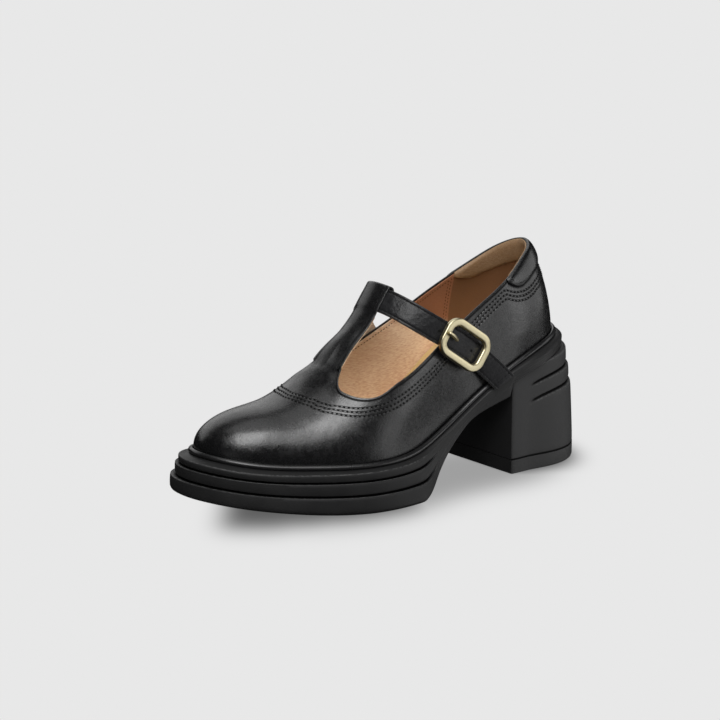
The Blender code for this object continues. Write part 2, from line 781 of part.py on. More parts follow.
def rounded_rectangle(length, width, corner, steps):
    """Points round a rectangle with round corners, centred on the origin."""
    points = []
    for turn, (sx, sy) in enumerate(((1, 1), (-1, 1), (-1, -1), (1, -1))):
        centre = np.array([sx * (length / 2 - corner), sy * (width / 2 - corner)])
        for k in range(steps + 1):
            angle = (turn + k / steps) * math.pi / 2
            points.append(centre + corner * np.array([math.cos(angle), math.sin(angle)]))
    return np.array(points)


def make_buckle_frame(material, collection, place):
    """A flat frame with eased edges, lofted round a rounded rectangle."""
    rows = []
    for inset, height in BUCKLE_PROFILE:
        outline = rounded_rectangle(BUCKLE_LENGTH - 2 * inset, BUCKLE_WIDTH - 2 * inset,
                                    BUCKLE_CORNER - inset, BUCKLE_CORNER_STEPS)
        rows.append(raised(outline, height) * MM)
    bm = bmesh.new()
    verts = add_rows(bm, rows)
    bridge(bm, verts + verts[:1], closed=True)
    bmesh.ops.recalc_face_normals(bm, faces=bm.faces)
    piece = finish("buckle_frame", bm, material, collection)
    piece.matrix_world = place
    return piece


def make_buckle_prong(material, collection, place):
    """The prong's tip: out of the strap's hole and over the frame's front bar."""
    curve = bpy.data.curves.new("buckle_prong", "CURVE")
    curve.dimensions = "3D"
    curve.bevel_depth = PRONG_RADIUS * MM
    curve.bevel_resolution = 2
    curve.use_fill_caps = True
    run = curve.splines.new("POLY")
    run.points.add(len(PRONG_PATH) - 1)
    for point, (along, out) in zip(run.points, PRONG_PATH):
        point.co = (along * MM, 0.0, out * MM, 1.0)
    curve.materials.append(material)
    piece = bpy.data.objects.new("buckle_prong", curve)
    piece.matrix_world = place
    collection.objects.link(piece)
    return piece


# Materials and assembly


def principled(name, colour, roughness, metallic=0.0):
    material = bpy.data.materials.new(name)
    material.use_nodes = True
    shader = material.node_tree.nodes["Principled BSDF"]
    shader.inputs["Base Color"].default_value = (*colour, 1.0)
    shader.inputs["Roughness"].default_value = roughness
    shader.inputs["Metallic"].default_value = metallic
    return material


def main():
    for leftover in list(bpy.data.objects):
        bpy.data.objects.remove(leftover, do_unlink=True)
    shoe = bpy.data.collections.new("block_heel_pump")
    bpy.context.scene.collection.children.link(shoe)

    leather = principled("black_leather", (0.012, 0.012, 0.013), 0.32)
    rubber = principled("black_rubber", (0.022, 0.022, 0.023), 0.55)
    lining = principled("tan_lining", (0.45, 0.26, 0.13), 0.6)
    gold = principled("pale_gold", (0.72, 0.62, 0.42), 0.28, metallic=1.0)

    make_outsole(rubber, shoe)
    make_welt(rubber, shoe)
    make_heel(rubber, shoe)
    make_heel_tip(rubber, shoe)
    make_insole(lining, shoe)
    make_upper(leather, shoe)
    make_strap(leather, shoe)
    place = buckle_axes()
    make_buckle_frame(gold, shoe, place)
    make_buckle_prong(gold, shoe, place)


main()
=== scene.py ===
"""Looks of the left block heel pump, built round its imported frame.

Tables are in millimetres and meshes in metres. A station runs from behind the heel towards the toe,
"across" is positive to the outer side of the foot, and heights are above the floor. The feather line
is where the upper meets the welt. In the shoe's own frame the toe points to -Y and the outer side to +X.
"""
import math

import bmesh
import bpy
import numpy as np
from mathutils import Matrix, Vector


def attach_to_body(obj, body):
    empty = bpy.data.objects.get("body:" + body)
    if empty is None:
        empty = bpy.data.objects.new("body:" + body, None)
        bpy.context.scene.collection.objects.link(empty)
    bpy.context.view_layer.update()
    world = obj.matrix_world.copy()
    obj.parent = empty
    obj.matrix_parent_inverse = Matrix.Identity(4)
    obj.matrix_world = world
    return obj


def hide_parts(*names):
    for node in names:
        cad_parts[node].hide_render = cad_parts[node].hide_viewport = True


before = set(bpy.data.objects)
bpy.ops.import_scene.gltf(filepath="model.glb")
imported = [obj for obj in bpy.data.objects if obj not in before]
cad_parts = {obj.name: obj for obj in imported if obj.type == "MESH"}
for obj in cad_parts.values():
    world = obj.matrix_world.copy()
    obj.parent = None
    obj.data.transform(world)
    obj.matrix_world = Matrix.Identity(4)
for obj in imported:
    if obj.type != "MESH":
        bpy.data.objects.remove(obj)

MM = 0.001

# Sizes of the shoe that its frame also has; the middle of its outline in plan is the frame's origin
MIDDLE_ACROSS = -6.985
MIDDLE_STATION = 121.813
GAP = 0.3
HEEL_FEATHER_HEIGHT = 73.5
PLATFORM_HEIGHT = 25.6
TOE_SPRING = 15.5
TOE_SPRING_POWER = 1.8
SEAT_DEPTH = 2.4
INSOLE_THICKNESS = 3.0
INSOLE_EASE = 1.0
UPPER_WALL = 1.6
HEEL_TIP_HEIGHT = 8.0
STRAP_WIDTH = 13.8
STRAP_THICKNESS = 2.0
BUCKLE_LENGTH = 32.0
BUCKLE_WIDTH = 22.5
BUCKLE_BAR = 4.2
BUCKLE_THICKNESS = 3.0
BUCKLE_CORNER = 8.0
BUCKLE_STANDOFF = 0.5
PRONG_RADIUS = 1.1
HEEL_CENTRE = 35.0
BALL_CENTRE = 158.0
FAN_REACH = 45.0
FAN_BLEND = 12.0
BREAST = 62.2
BREAST_STEP = 2.0
TREAD_FRONT = 160.0
SOLE_TIP = 248.0

# Mesh fineness
DENSE_STEPS = 4000
RUN_STEPS = 240
RUN_CROWD = 2
CREASE_STEPS = 60
HALVINGS = 40
SIDE_STEPS = 150
WALL_ROWS = 44
WALL_CROWD = 1.15
BAR_HALF_COLUMNS = 20
SHARP_ANGLE = 40.0
CORNER_CUT = 0.25
TINY = 1e-6

# The feather line in plan, once round the foot
FEATHER_LINE = (
    # name, station, across
    ("heel back", 9.0, 1.0),
    ("outer heel", 33.0, 28.5),
    ("outer waist", 92.0, 28.8),
    ("outer ball", 150.0, 33.6),
    ("outer toe", 200.0, 15.2),
    ("outer tip", 228.5, -4.6),
    ("toe tip", 235.0, -22.0),
    ("inner tip", 226.0, -38.4),
    ("inner toe", 208.0, -44.8),
    ("inner ball", 175.0, -45.8),
    ("inner waist", 105.0, -28.0),
    ("inner heel", 33.0, -26.5),
)

# The last: feather height on a flat tread, then the ridge over the foot
LAST_SECTIONS = (
    # station, feather height, ridge across, ridge rise, fullness
    (9.0, HEEL_FEATHER_HEIGHT, 1.0, 60.0, 1.65),
    (40.0, 70.5, 0.5, 63.0, 1.65),
    (75.0, 55.5, -1.0, 88.0, 1.75),
    (100.0, 40.5, -3.0, 92.0, 1.90),
    (115.0, 33.5, -4.5, 88.0, 1.95),
    (130.0, 28.2, -6.5, 79.0, 2.00),
    (150.0, PLATFORM_HEIGHT + 0.3, -7.5, 57.0, 2.10),
    (168.0, PLATFORM_HEIGHT, -9.0, 41.0, 2.15),
    (190.0, 24.8, -13.0, 31.0, 2.25),
    (215.0, 23.0, -18.0, 31.0, 2.35),
    (235.0, 22.3, -22.0, 29.0, 2.35),
)

# The underside of the waist, from the heel breast to the tread
ARCH = (
    # station, height
    (BREAST + BREAST_STEP, 45.0),
    (80.0, 40.2),
    (92.0, 35.0),
    (100.0, 28.8),
    (111.0, 18.0),
    (121.0, 5.5),
    (131.0, 0.0),
)

# The sole's side: each row's share of the side's height, how far it stands out of the feather line,
# and how much lower it lies at the forefoot, where the tiers have sharp lips over sunk grooves
SOLE_SIDE = (
    # name, share, forefoot, waist, heel, lower at the forefoot
    # a "groove" row gets painted shade and a "crown" row is a worn lip
    ("seat edge", 0.000, 0.0, 0.0, 0.0, 0.0),
    ("ledge root", 0.010, 3.2, 2.8, 2.8, 0.0),
    ("ledge edge", 0.032, 6.3, 3.7, 3.8, 0.012),
    ("first tier crown", 0.070, 7.7, 4.4, 4.8, -0.010),
    ("first tier side", 0.130, 8.1, 4.6, 5.4, -0.045),
    ("first tier foot", 0.215, 8.1, 4.7, 6.0, 0.010),
    ("first groove top", 0.237, 7.0, 4.7, 6.2, 0.008),
    ("first groove foot", 0.258, 6.9, 4.7, 6.3, 0.036),
    ("second tier crown", 0.275, 9.5, 4.7, 6.3, -0.013),
    ("second tier shoulder", 0.315, 10.0, 4.7, 6.3, -0.032),
    ("second tier foot", 0.530, 10.1, 4.6, 6.2, 0.008),
    ("second groove top", 0.552, 9.0, 4.5, 6.1, 0.008),
    ("second groove foot", 0.573, 8.9, 4.5, 6.1, 0.036),
    ("third tier crown", 0.592, 12.0, 4.4, 6.0, -0.013),
    ("third tier shoulder", 0.635, 12.6, 4.4, 6.0, -0.034),
    ("third tier side", 0.800, 12.9, 4.2, 5.8, 0.0),
    ("third tier foot", 0.950, 12.8, 4.1, 5.6, 0.0),
    ("tread edge", 1.000, 11.2, 3.2, 4.6, 0.0),
)
SOLE_BAND_AT_HEEL = 9.8
TIER_FADE = (114.0, 136.0)
HEEL_BAND_FADE = (40.0, 66.0)
OFFSET_AT_BALL = 0.74
OFFSET_GROWS = (165.0, 228.0)

# The welt's cross-section: out of the feather line, and below it
WELT_PROFILE = (
    # outward, depth
    (GAP, SEAT_DEPTH - GAP),
    (GAP, 0.3),
    (0.6, -0.2),
    (1.2, -0.4),
    (1.9, -0.2),
    (2.5, 0.4),
    (2.8, 1.1),
    (2.7, 1.7),
    (2.4, SEAT_DEPTH - GAP),
)

# The heel's side: rows below the feather line, then rows that level out towards the heel tip
HEEL_SIDE = (
    # name, depth below the feather line, levelling, outward at the back, cut on the sides
    ("seat", SOLE_BAND_AT_HEEL + GAP, 0.0, 7.2, 0.0),
    ("first tier crown", 10.6, 0.0, 8.2, 0.0),
    ("first tier shoulder", 11.6, 0.0, 8.7, 0.0),
    ("first tier foot", 18.4, 0.0, 8.9, 0.0),
    ("first groove top", 19.0, 0.0, 7.5, 1.1),
    ("first groove foot", 19.9, 0.0, 7.4, 1.1),
    ("second tier crown", 20.5, 0.0, 9.7, 0.0),
    ("second tier shoulder", 21.6, 0.0, 10.3, 0.0),
    ("second tier foot", 27.7, 0.0, 10.5, 0.0),
    ("second groove top", 28.3, 0.0, 9.1, 1.1),
    ("second groove foot", 29.3, 0.0, 9.0, 1.1),
    ("body crown", 30.0, 0.0, 10.9, 0.0),
    ("body shoulder", 31.2, 0.0, 11.6, 0.0),
    ("body upper", 31.2, 0.2, 12.0, 0.0),
    ("body middle", 31.2, 0.5, 12.5, 0.0),
    ("body lower", 31.2, 0.96, 13.2, 0.0),
    ("body foot", 31.2, 1.0, 12.9, 0.0),
)
HEEL_FRONT_OFFSET = 2.8
HEEL_TIERS_FADE = (52.0, 20.0)
HEEL_GROOVE_ENDS = (51.0, 42.0)
HEEL_CORNER = 1.0
HEEL_CORNER_STEPS = 4
HEEL_CORNER_CLEAR = 0.6
BREAST_FACING = 0.9
HEEL_TIP_SIDE = (
    # height, inward from the heel's foot
    (HEEL_TIP_HEIGHT, 0.4),
    (HEEL_TIP_HEIGHT - 0.4, 0.0),
    (1.2, 0.0),
    (0.4, 0.3),
    (0.0, 0.8),
)

# The topline of the quarters
TOPLINE = (
    # name, station, height on the outer side, height on the inner side
    ("collar back", 24.0, 123.8, 123.8),
    ("collar side", 38.0, 118.8, 113.6),
    ("quarter rear", 55.0, 110.0, 103.2),
    ("quarter middle", 75.0, 99.3, 94.6),
    ("quarter front", 100.0, 84.6, 84.8),
    ("under the strap", 112.0, 77.6, 79.6),
    ("throat side", 134.0, 66.8, 68.6),
    ("throat low", 154.0, 60.4, 61.0),
)
QUARTER_END = 140.0

# The throat's round front, from the quarter to the corner of the T-bar
THROAT = (
    # name, station, share of the half width from the ridge
    ("side", 153.7, 0.805),
    ("low corner", 161.0, 0.720),
    ("front", 165.0, 0.600),
    ("front", 166.0, 0.500),
    ("bar fillet", 164.0, 0.395),
    ("bar corner", 160.0, 0.310),
)

# The T-bar's centre line over the instep, up to where it runs straight
BAR_CENTRE = -7.0
BAR_HALF_WIDTH = 8.9
BAR_PATH = (
    # name, station, height
    ("over the throat", 150.5, 83.0),
    ("instep", 140.6, 91.6),
)
BAR_BASE_SAG = 1.5
BAR_BLEND = 0.45
BAR_ROWS = 34
BAR_FOOT_ROWS = 10
BAR_FOOT_PASSES = 14
BAR_FOOT_FADE = 9
BAR_FOLD_STEPS = 12
BAR_FOLD_ROWS = 8
BAR_TAIL = 13.2
BAR_FOLD_WALL = 1.0

# The plane of the strap, square to the T-bar's straight end, through the bar's outer face
STRAP_STATION = 130.0
STRAP_HEIGHT = 105.4
BAR_DIRECTION = (-0.6, 0.8)
BAR_NORMAL = (0.8, 0.6)
BAR_TOP_ABOVE_STRAP = 0.1
BAR_FOLD_REACH = 1.7
STRAP_DEPTH_IN_BAR = BAR_FOLD_WALL + GAP + STRAP_THICKNESS / 2

# The strap's centre line in that plane
STRAP_PATH = (
    # name, across, fall below the bar's face, drift along the bar
    ("inner end", -29.9, 48.0, -16.0),
    ("inner quarter", -29.4, 37.0, -15.0),
    ("inner topline", -28.4, 25.0, -10.5),
    ("inner shoulder", -24.4, 12.0, -3.4),
    ("bar inner edge", -19.0, STRAP_DEPTH_IN_BAR + 3.6, -0.4),
    ("under the bar", BAR_CENTRE, STRAP_DEPTH_IN_BAR, 0.0),
    ("bar outer edge", 2.5, STRAP_DEPTH_IN_BAR + 2.3, 0.0),
    ("outer shoulder", 16.0, 12.7, -0.8),
    ("outer topline", 25.5, 28.0, -1.0),
    ("buckle", 28.7, 45.5, 0.0),
    ("below the buckle", 31.1, 62.0, -1.2),
    ("over the welt", 34.6, 70.4, -2.9),
    ("free end", 37.6, 77.6, -4.8),
)
STRAP_STEPS = 260
STRAP_LENGTH = 150.0
STRAP_OUTER_HALF = (0.5, 1.0)
STRAP_END_SLANT = 0.018
STRAP_SLANT_FROM = (0.86, 1.0)
STRAP_END_EASE = 0.6

# The strap in section: a raised edge, a sunk stitch line and a soft middle
STRAP_FINISHES = ("leather", "lining", "edge")
STRAP_SECTION = (
    # along the strap's width, out of its middle layer, finish from this point to the next
    (-6.5, -1.0, "leather"),
    (-6.9, -0.6, "edge"),
    (-6.9, 0.55, "edge"),
    (-6.65, 0.9, "leather"),
    (-6.2, 1.0, "leather"),
    (-5.75, 0.95, "leather"),
    (-5.4, 0.7, "leather"),
    (-5.05, 0.88, "leather"),
    (-4.2, 1.0, "leather"),
    (-2.0, 1.05, "leather"),
    (0.0, 1.06, "leather"),
    (2.0, 1.05, "leather"),
    (4.2, 1.0, "leather"),
    (5.05, 0.88, "leather"),
    (5.4, 0.7, "leather"),
    (5.75, 0.95, "leather"),
    (6.2, 1.0, "leather"),
    (6.65, 0.9, "edge"),
    (6.9, 0.55, "edge"),
    (6.9, -0.6, "leather"),
    (6.5, -1.0, "lining"),
)
STRAP_HOLE_FALLS = (27.5, 51.3)
STRAP_HOLE_RADIUS = 0.8
STRAP_HOLE_LENS = 0.1
STRAP_HOLE_SIDES = 16

# The buckle's bar in section, and its prong from over the front bar down to the strap
BUCKLE_FALL = 44.2
BUCKLE_CORNER_STEPS = 18
BUCKLE_PROFILE = (
    # inset from the outer edge, height
    (0.4, 0.0),
    (0.0, 0.4),
    (0.0, 2.3),
    (0.1, 2.62),
    (0.4, 2.88),
    (0.9, 2.98),
    (2.0, 3.0),
    (3.2, 2.97),
    (3.65, 2.85),
    (4.05, 2.55),
    (4.2, 2.2),
    (4.2, 0.3),
    (3.9, 0.0),
)
FRONT_BAR = -(BUCKLE_LENGTH - BUCKLE_BAR) / 2
PRONG_OVER_BAR = BUCKLE_THICKNESS + PRONG_RADIUS + GAP
PRONG_PATH = (
    # along the strap, out of it
    (FRONT_BAR - 0.8, PRONG_OVER_BAR),
    (FRONT_BAR + 1.6, PRONG_OVER_BAR),
    (FRONT_BAR + 3.6, PRONG_OVER_BAR - 0.5),
    (FRONT_BAR + 6.4, PRONG_RADIUS + 1.0),
    (FRONT_BAR + 8.0, PRONG_RADIUS),
)
PRONG_STEPS = 28
PRONG_SIDES = 20
PRONG_TIP = 0.05

# Skins of the upper
LEATHER_THICKNESS = 0.9
LINING_OFFSET = 0.97
LINING_THICKNESS = 0.55
LINING_BELOW_EDGE = 0.8
LINING_UP_THE_BAR = 0.7
LINING_SEAM = 53.4
EDGE_ROUND = 0.25
EDGE_ROUND_SHARE = 0.3
EDGE_SEGMENTS = 2
EDGE_ANGLE = 60.0

# The seam of three stitch rows, by its place round the upper: 0 is the heel back and 1 the toe tip
SEAM_DEPTH = (
    # place, middle row's distance below the topline
    (0.000, 17.6),
    (0.097, 18.6),
    (0.136, 20.0),
    (0.165, 20.2),
    (0.182, 19.3),
    (0.199, 17.5),
    (0.222, 13.5),
    (0.239, 9.5),
    (0.249, 6.8),
    (0.260, 6.4),
    (0.312, 7.0),
    (0.330, 7.6),
    (0.443, 10.2),
    (0.500, 9.6),
    (0.574, 9.4),
    (0.636, 8.2),
    (0.665, 8.0),
    (0.693, 8.4),
    (0.722, 9.0),
    (0.756, 10.0),
    (0.784, 11.5),
    (0.818, 15.5),
    (0.840, 20.0),
    (0.864, 24.2),
    (0.909, 26.0),
    (1.000, 26.5),
)
SEAM_ROW_SPACING = 2.4

# Stitch rows: the strap's along its edges and across its free end, the lining's below the topline and
# down each side seam
STITCH_SEGMENTS = 8
STITCH_RINGS = 5
STITCH_SEED = 11
STITCH_UNEVENNESS = 0.12
STITCHES = {
    # rows: step, length and width of a stitch
    "seam": (2.5, 1.5, 0.8),
    "strap": (2.2, 1.5, 0.6),
    "lining": (2.0, 1.3, 0.5),
}
STRAP_STITCH_LINE = 5.4
STRAP_STITCH_SHARES = (0.01, 0.982)
STRAP_STITCH_SINK = 0.3
STRAP_END_STITCH_SINK = 0.1
STRAP_END_STITCH_POINTS = 24
LINING_STITCH_DEPTH = 3.2
LINING_STITCH_PLACES = (0.24, 0.78)
LINING_SEAM_STITCHES = (1.6, 3.4)
LINING_SEAM_COLUMNS = (24, 52)
LINING_SEAM_DEPTHS = (3.4, 36.0)
LINING_SEAM_POINTS = 30

# The padded panel at the collar's back, on the outside
PAD_EDGE = (
    # place, depth below the topline
    (0.000, 11.8),
    (0.097, 12.5),
    (0.153, 13.5),
    (0.176, 13.3),
    (0.199, 12.0),
    (0.216, 9.5),
    (0.229, 6.2),
    (0.239, 3.0),
    (0.246, 0.9),
)
PAD_PUFF = 1.8
NO_PAD = 99.0
PAD_FACE_STEPS = 16
PAD_BACK_STRIDE = 3
PAD_SINK = 0.5
PAD_ROUNDNESS = 2.4
PAD_FADE = 4

# The padded lining at the collar's back, on the inside
GRIP_EDGE = (
    # place, depth below the topline
    (0.000, 15.0),
    (0.074, 15.5),
    (0.125, 16.0),
    (0.160, 15.2),
    (0.180, 13.0),
    (0.199, 9.0),
    (0.215, 5.5),
    (0.230, 2.0),
)
GRIP_PUFF = 1.6

# Creases of the upper, placed on the last
CREASES = (
    # name, height, half width, points (across, station)
    ("roll ahead of the bar", 0.35, 3.2,
     ((-23.0, 168.6), (-15.6, 166.0), (-8.7, 165.4), (-3.0, 165.2), (2.0, 166.0))),
    ("fold at the bar's foot", -0.4, 3.0,
     ((-13.0, 160.8), (-7.0, 160.4), (0.0, 160.8))),
    ("soft hollow below the roll", -0.25, 5.0,
     ((-5.0, 175.0), (1.0, 173.6), (7.0, 171.6))),
)

# The T-bar sinks a little just below the strap that fills its loop
BAR_SINK = 0.45
BAR_SINK_FROM = -6.4
BAR_SINK_TO = -8.6
BAR_SINK_END = -20.0
BAR_SINK_MARGIN = 0.1

# Finishes: noises in features per metre, bumps in metres, distances on the shoe in millimetres
NOISE_ROUGHNESS = 0.55
NOISE_BODY = (0.3, 0.7)
NOISE_CORE = (0.35, 0.65)
LEATHER_BLACKS = ((0.0025, 0.0025, 0.0027), (0.0055, 0.0055, 0.0058))
LEATHER_CLOUDS = 26.0
LEATHER_GRAIN = 1500.0
LEATHER_GRAIN_BUMP = 0.00011
LEATHER_PORES = 420.0
LEATHER_PORE_BUMP = 0.00003
LEATHER_ROUGHNESS = (0.22, 0.32)
SEAM_GROOVE = (0.15, 0.75)
SEAM_GROOVE_BUMP = 0.00035
SEAM_BAND = (3.0, 3.4)
EDGE_LINE = 1.6
EDGE_FOLD = (0.1, 0.55)
# Painted shade, as shine taken away: along the edge line and just below the pad
EDGE_SHADE = (0.35, 1.0)
EDGE_SHINE = 0.15
PAD_SHADE = (0.2, 1.5)
PAD_SHADE_SHINE = 0.1
# Painted shade along the pad's low crease, as shine taken away
PAD_CREASE_SHADE = (0.84, 0.97)
PAD_CREASE_SHINE = 0.08
RUBBER_TINTS = (0.8, 1.2)
RUBBER_CLOUDS = 60.0
RUBBER_SKIN = 1100.0
RUBBER_SKIN_BUMP = 0.00006
RUBBER_SPECKS = 700.0
LIP_WEAR = (0.45, 0.75)
WORN_LIP = (0.05, 0.05, 0.05)
# Painted shade in the rubber's grooves and seams: the colour goes towards near black and the shine fades
GROOVE_SHADE = (0.1, 0.75)
GROOVE_LIGHT = 0.12
GROOVE_SHADE_COLOUR = (0.0008, 0.0008, 0.0008)
LINING_STREAKS = 1800.0
LINING_STREAK_STRETCH = (1.0, 0.17, 1.0)
LINING_STREAK_BUMP = 0.00016
LINING_CLOUDS = 30.0
LINING_ROUGHNESS = (0.5, 0.68)
LINING_TINTS = (0.85, 1.2)
# The lining's quarter tone is painted shade, high up inside the quarters
LINING_SHADE_SLOPE = 0.25
LINING_SHADE_HEIGHTS = (84.0, 94.0)
LINING_SEAM_BLUR = 0.4
GOLD_TONES = ((0.57, 0.51, 0.32), (0.69, 0.62, 0.42))
GOLD_CLOUDS = 90.0
GOLD_BRUSH = 1400.0
GOLD_BRUSH_STRETCH = (0.3, 1.0, 1.0)
GOLD_BRUSH_BUMP = 0.0000008
GOLD_ROUGHNESS = (0.28, 0.36)
THREAD_TWIST = 2500.0
THREAD_TWIST_BUMP = 0.00008
THREAD_DARK = 0.6

# Camera, floor and light, in metres; lens, sensor and stations are in millimetres and angles in degrees
CAMERA_EYE = (1.09819, -0.93657, 0.45416)
CAMERA_BACK = (0.73994, -0.62088, 0.25882)
CAMERA_LENS = 136.5
CAMERA_SENSOR = 36.0
CAMERA_CLIP = (0.05, 50.0)
FLOOR_GLOW = 0.807
FLOOR_HALF = 6.0
SHADOW_REACH = 0.26
SHADOW_STEP = (0.002, 0.005)
SHADOW_BELL = 3
SHADOWS = (
    # outline, shift to the right and towards the camera, softness the same two ways, strength
    ("tread", (0.0, 0.0128), (0.0062, 0.0132), 0.86),
    ("heel", (0.002, 0.0071), (0.006, 0.0098), 0.95),
    ("waist", (-0.0026, 0.0172), (0.008, 0.0142), 0.57),
)
SHADOW_TREAD_LEFT = -0.085
SHADOW_TREAD_START = 121.0
SHADOW_WAIST_END = 196.0
LIGHT_AIM = (0.0, 0.0, 0.05)
LIGHTS = (
    # name, azimuth, elevation, distance, width, height, brightness
    ("key", 47.0, 50.0, 1.6, 0.85, 1.15, 7.2),
    ("key side", 84.0, 48.0, 1.6, 0.6, 1.0, 3.0),
    ("top", 0.0, 88.0, 1.6, 1.2, 1.2, 1.05),
    ("back wall", -118.0, 28.0, 1.9, 1.6, 1.7, 0.9),
    ("left wall", -74.0, 26.0, 1.9, 1.2, 0.9, 0.9),
    ("right wall", 113.0, 0.0, 1.9, 0.9, 0.95, 1.15),
    ("right wall rear", 136.0, 13.0, 1.9, 0.75, 0.85, 0.8),
    ("right strip", 133.0, 12.0, 1.8, 0.5, 0.85, 1.45),
    ("rear wall", 164.0, 14.0, 1.9, 1.2, 1.2, 0.9),
    ("right bounce", 145.0, -27.0, 1.6, 1.9, 0.8, 0.85),
    ("front bounce", 26.0, -2.0, 1.9, 0.7, 0.4, 0.4),
)
WORLD_LIGHT = 0.01
WHITE = (1.0, 1.0, 1.0, 1.0)


def smooth_step(low, high, value):
    """0 at low, 1 at high, with level ends; low may be the larger."""
    share = np.clip((np.asarray(value, float) - low) / (high - low), 0.0, 1.0)
    return share * share * (3.0 - 2.0 * share)


def spline(knots, values, at, period=None):
    """Cubic spline through the values at the knots, natural at its ends or closed over a period."""
    knots = np.asarray(knots, float)
    values = np.asarray(values, float)
    at = np.asarray(at, float)
    if period:
        knots = np.append(knots, knots[0] + period)
        values = np.concatenate([values, values[:1]])
        at = knots[0] + np.mod(at - knots[0], period)
    count = len(knots)
    span = np.diff(knots)
    slope = np.diff(values) / span
    system = np.eye(count)
    bend = np.zeros(count)
    for i in range(1, count - 1):
        system[i, i - 1:i + 2] = span[i - 1], 2 * (span[i - 1] + span[i]), span[i]
        bend[i] = 6 * (slope[i] - slope[i - 1])
    if period:
        system[0, -1] = -1
        system[-1, :2] = 2 * span[0], span[0]
        system[-1, -2:] = span[-1], 2 * span[-1]
        bend[-1] = 6 * (slope[0] - slope[-1])
    bend = np.linalg.solve(system, bend)
    i = np.clip(np.searchsorted(knots, at, side="right") - 1, 0, count - 2)
    past, ahead, width = at - knots[i], knots[i + 1] - at, span[i]
    return ((bend[i] * ahead**3 + bend[i + 1] * past**3) / (6 * width)
            + (values[i] / width - bend[i] * width / 6) * ahead
            + (values[i + 1] / width - bend[i + 1] * width / 6) * past)


def column(table, index):
    return np.array([row[index] for row in table], float)


def along_chords(points):
    """Distance along a run of points, from 0."""
    steps = np.linalg.norm(np.diff(points, axis=0), axis=1)
    return np.concatenate([[0.0], np.cumsum(steps)])


def resample(points, count):
    """The run of points again, as count points at equal distances."""
    along = along_chords(points)
    at = np.linspace(0.0, along[-1], count)
    return np.stack([np.interp(at, along, points[:, k]) for k in range(points.shape[1])], axis=1)


def smooth_run(points, count):
    """A smooth run of count points through a few points."""
    points = np.asarray(points, float)
    along = along_chords(points)
    at = np.linspace(0.0, along[-1], count)
    return np.stack([spline(along, points[:, k], at) for k in range(points.shape[1])], axis=1)


# The feather line, its two sides and the ring of paired points that every piece shares


def feather_sides():
    """The outer and the inner side of the feather line, each from the heel back to the toe tip."""
    points = np.stack([column(FEATHER_LINE, 2), column(FEATHER_LINE, 1)], axis=1)
    along = along_chords(np.vstack([points, points[:1]]))
    at = np.linspace(0.0, along[-1], DENSE_STEPS, endpoint=False)
    dense = np.stack([spline(along[:-1], points[:, k], at, period=along[-1]) for k in (0, 1)], axis=1)
    dense = np.roll(dense, -np.argmin(dense[:, 1]), axis=0)
    tip = np.argmax(dense[:, 1])
    outer = dense[:tip + 1]
    inner = np.vstack([dense[tip:], dense[:1]])[::-1]
    return outer, inner


OUTER_SIDE, INNER_SIDE = feather_sides()


def side_across(station, outer):
    """How far across the feather line runs at a station, on its outer or its inner side."""
    side = OUTER_SIDE if outer else INNER_SIDE
    return np.interp(station, side[:, 1], side[:, 0])


def side_normals(station, outer):
    """Directions in plan that point out of one side of the feather line."""
    side = OUTER_SIDE if outer else INNER_SIDE
    tangent = np.gradient(side, axis=0)
    tangent /= np.linalg.norm(tangent, axis=1, keepdims=True) * (1 if outer else -1)
    return np.stack([np.interp(station, side[:, 1], tangent[:, 1]),
                     np.interp(station, side[:, 1], -tangent[:, 0])], axis=1)


def ring_stations():
    """Stations from heel back to toe tip, evenly spaced along the outer side, with the breast's two."""
    stations = resample(OUTER_SIDE, SIDE_STEPS + 1)[:, 1]
    nearest = np.argmin(np.abs(stations - BREAST))
    stations[nearest] = BREAST
    stations[nearest + 1] = BREAST + BREAST_STEP
    return stations


def round_the_foot(outer, inner):
    """One ring from the two sides' rows: up the outer side, round the toe, back down the inner side."""
    return np.concatenate([outer, inner[-2:0:-1]])


STATIONS = ring_stations()
RING = round_the_foot(np.stack([side_across(STATIONS, True), STATIONS], axis=1),
                      np.stack([side_across(STATIONS, False), STATIONS], axis=1))
RING_NORMALS = round_the_foot(side_normals(STATIONS, True), side_normals(STATIONS, False))
SIDE_PLACES = np.linspace(0.0, 1.0, SIDE_STEPS + 1)
RING_PLACES = round_the_foot(SIDE_PLACES, SIDE_PLACES)


# The last: heights of the feather line, the sole's underside and the foot's surface


def last_column(index, station):
    """A column of the last's sections, as a smooth run along the foot."""
    knots = column(LAST_SECTIONS, 0)
    at = np.clip(station, knots[0], knots[-1])
    return spline(knots, column(LAST_SECTIONS, index), at)


def toe_rise(station):
    """How far the toe spring lifts the sole and the last."""
    share = (np.asarray(station, float) - TREAD_FRONT) / (SOLE_TIP - TREAD_FRONT)
    return TOE_SPRING * np.clip(share, 0.0, None) ** TOE_SPRING_POWER


def feather_height(station):
    return last_column(1, station) + toe_rise(station)


def underside_height(station):
    """Underside of the sole: heel seat, arch, tread and toe spring."""
    arch = spline(column(ARCH, 0), column(ARCH, 1), np.clip(station, ARCH[0][0], ARCH[-1][0]))
    seat = feather_height(station) - SOLE_BAND_AT_HEEL
    ground = np.clip(arch, 0.0, None) + toe_rise(station)
    return np.where(np.asarray(station) <= BREAST, seat, ground)


def fan_share(across, station, centre):
    """Share of the way out from a pole on the ridge to the feather line, along a ray from the pole."""
    pole = np.array([last_column(2, centre), centre])
    full = np.vstack([OUTER_SIDE, INNER_SIDE[-2:0:-1]])
    toeward = 1.0 if centre == BALL_CENTRE else -1.0
    near = full[toeward * (full[:, 1] - centre) > -FAN_REACH]
    angle = np.arctan2(near[:, 0] - pole[0], toeward * (near[:, 1] - pole[1]))
    order = np.argsort(angle)
    reach = np.linalg.norm(near - pole, axis=1)
    here = np.arctan2(across - pole[0], toeward * (station - pole[1]))
    return np.hypot(across - pole[0], station - pole[1]) / np.interp(here, angle[order], reach[order])


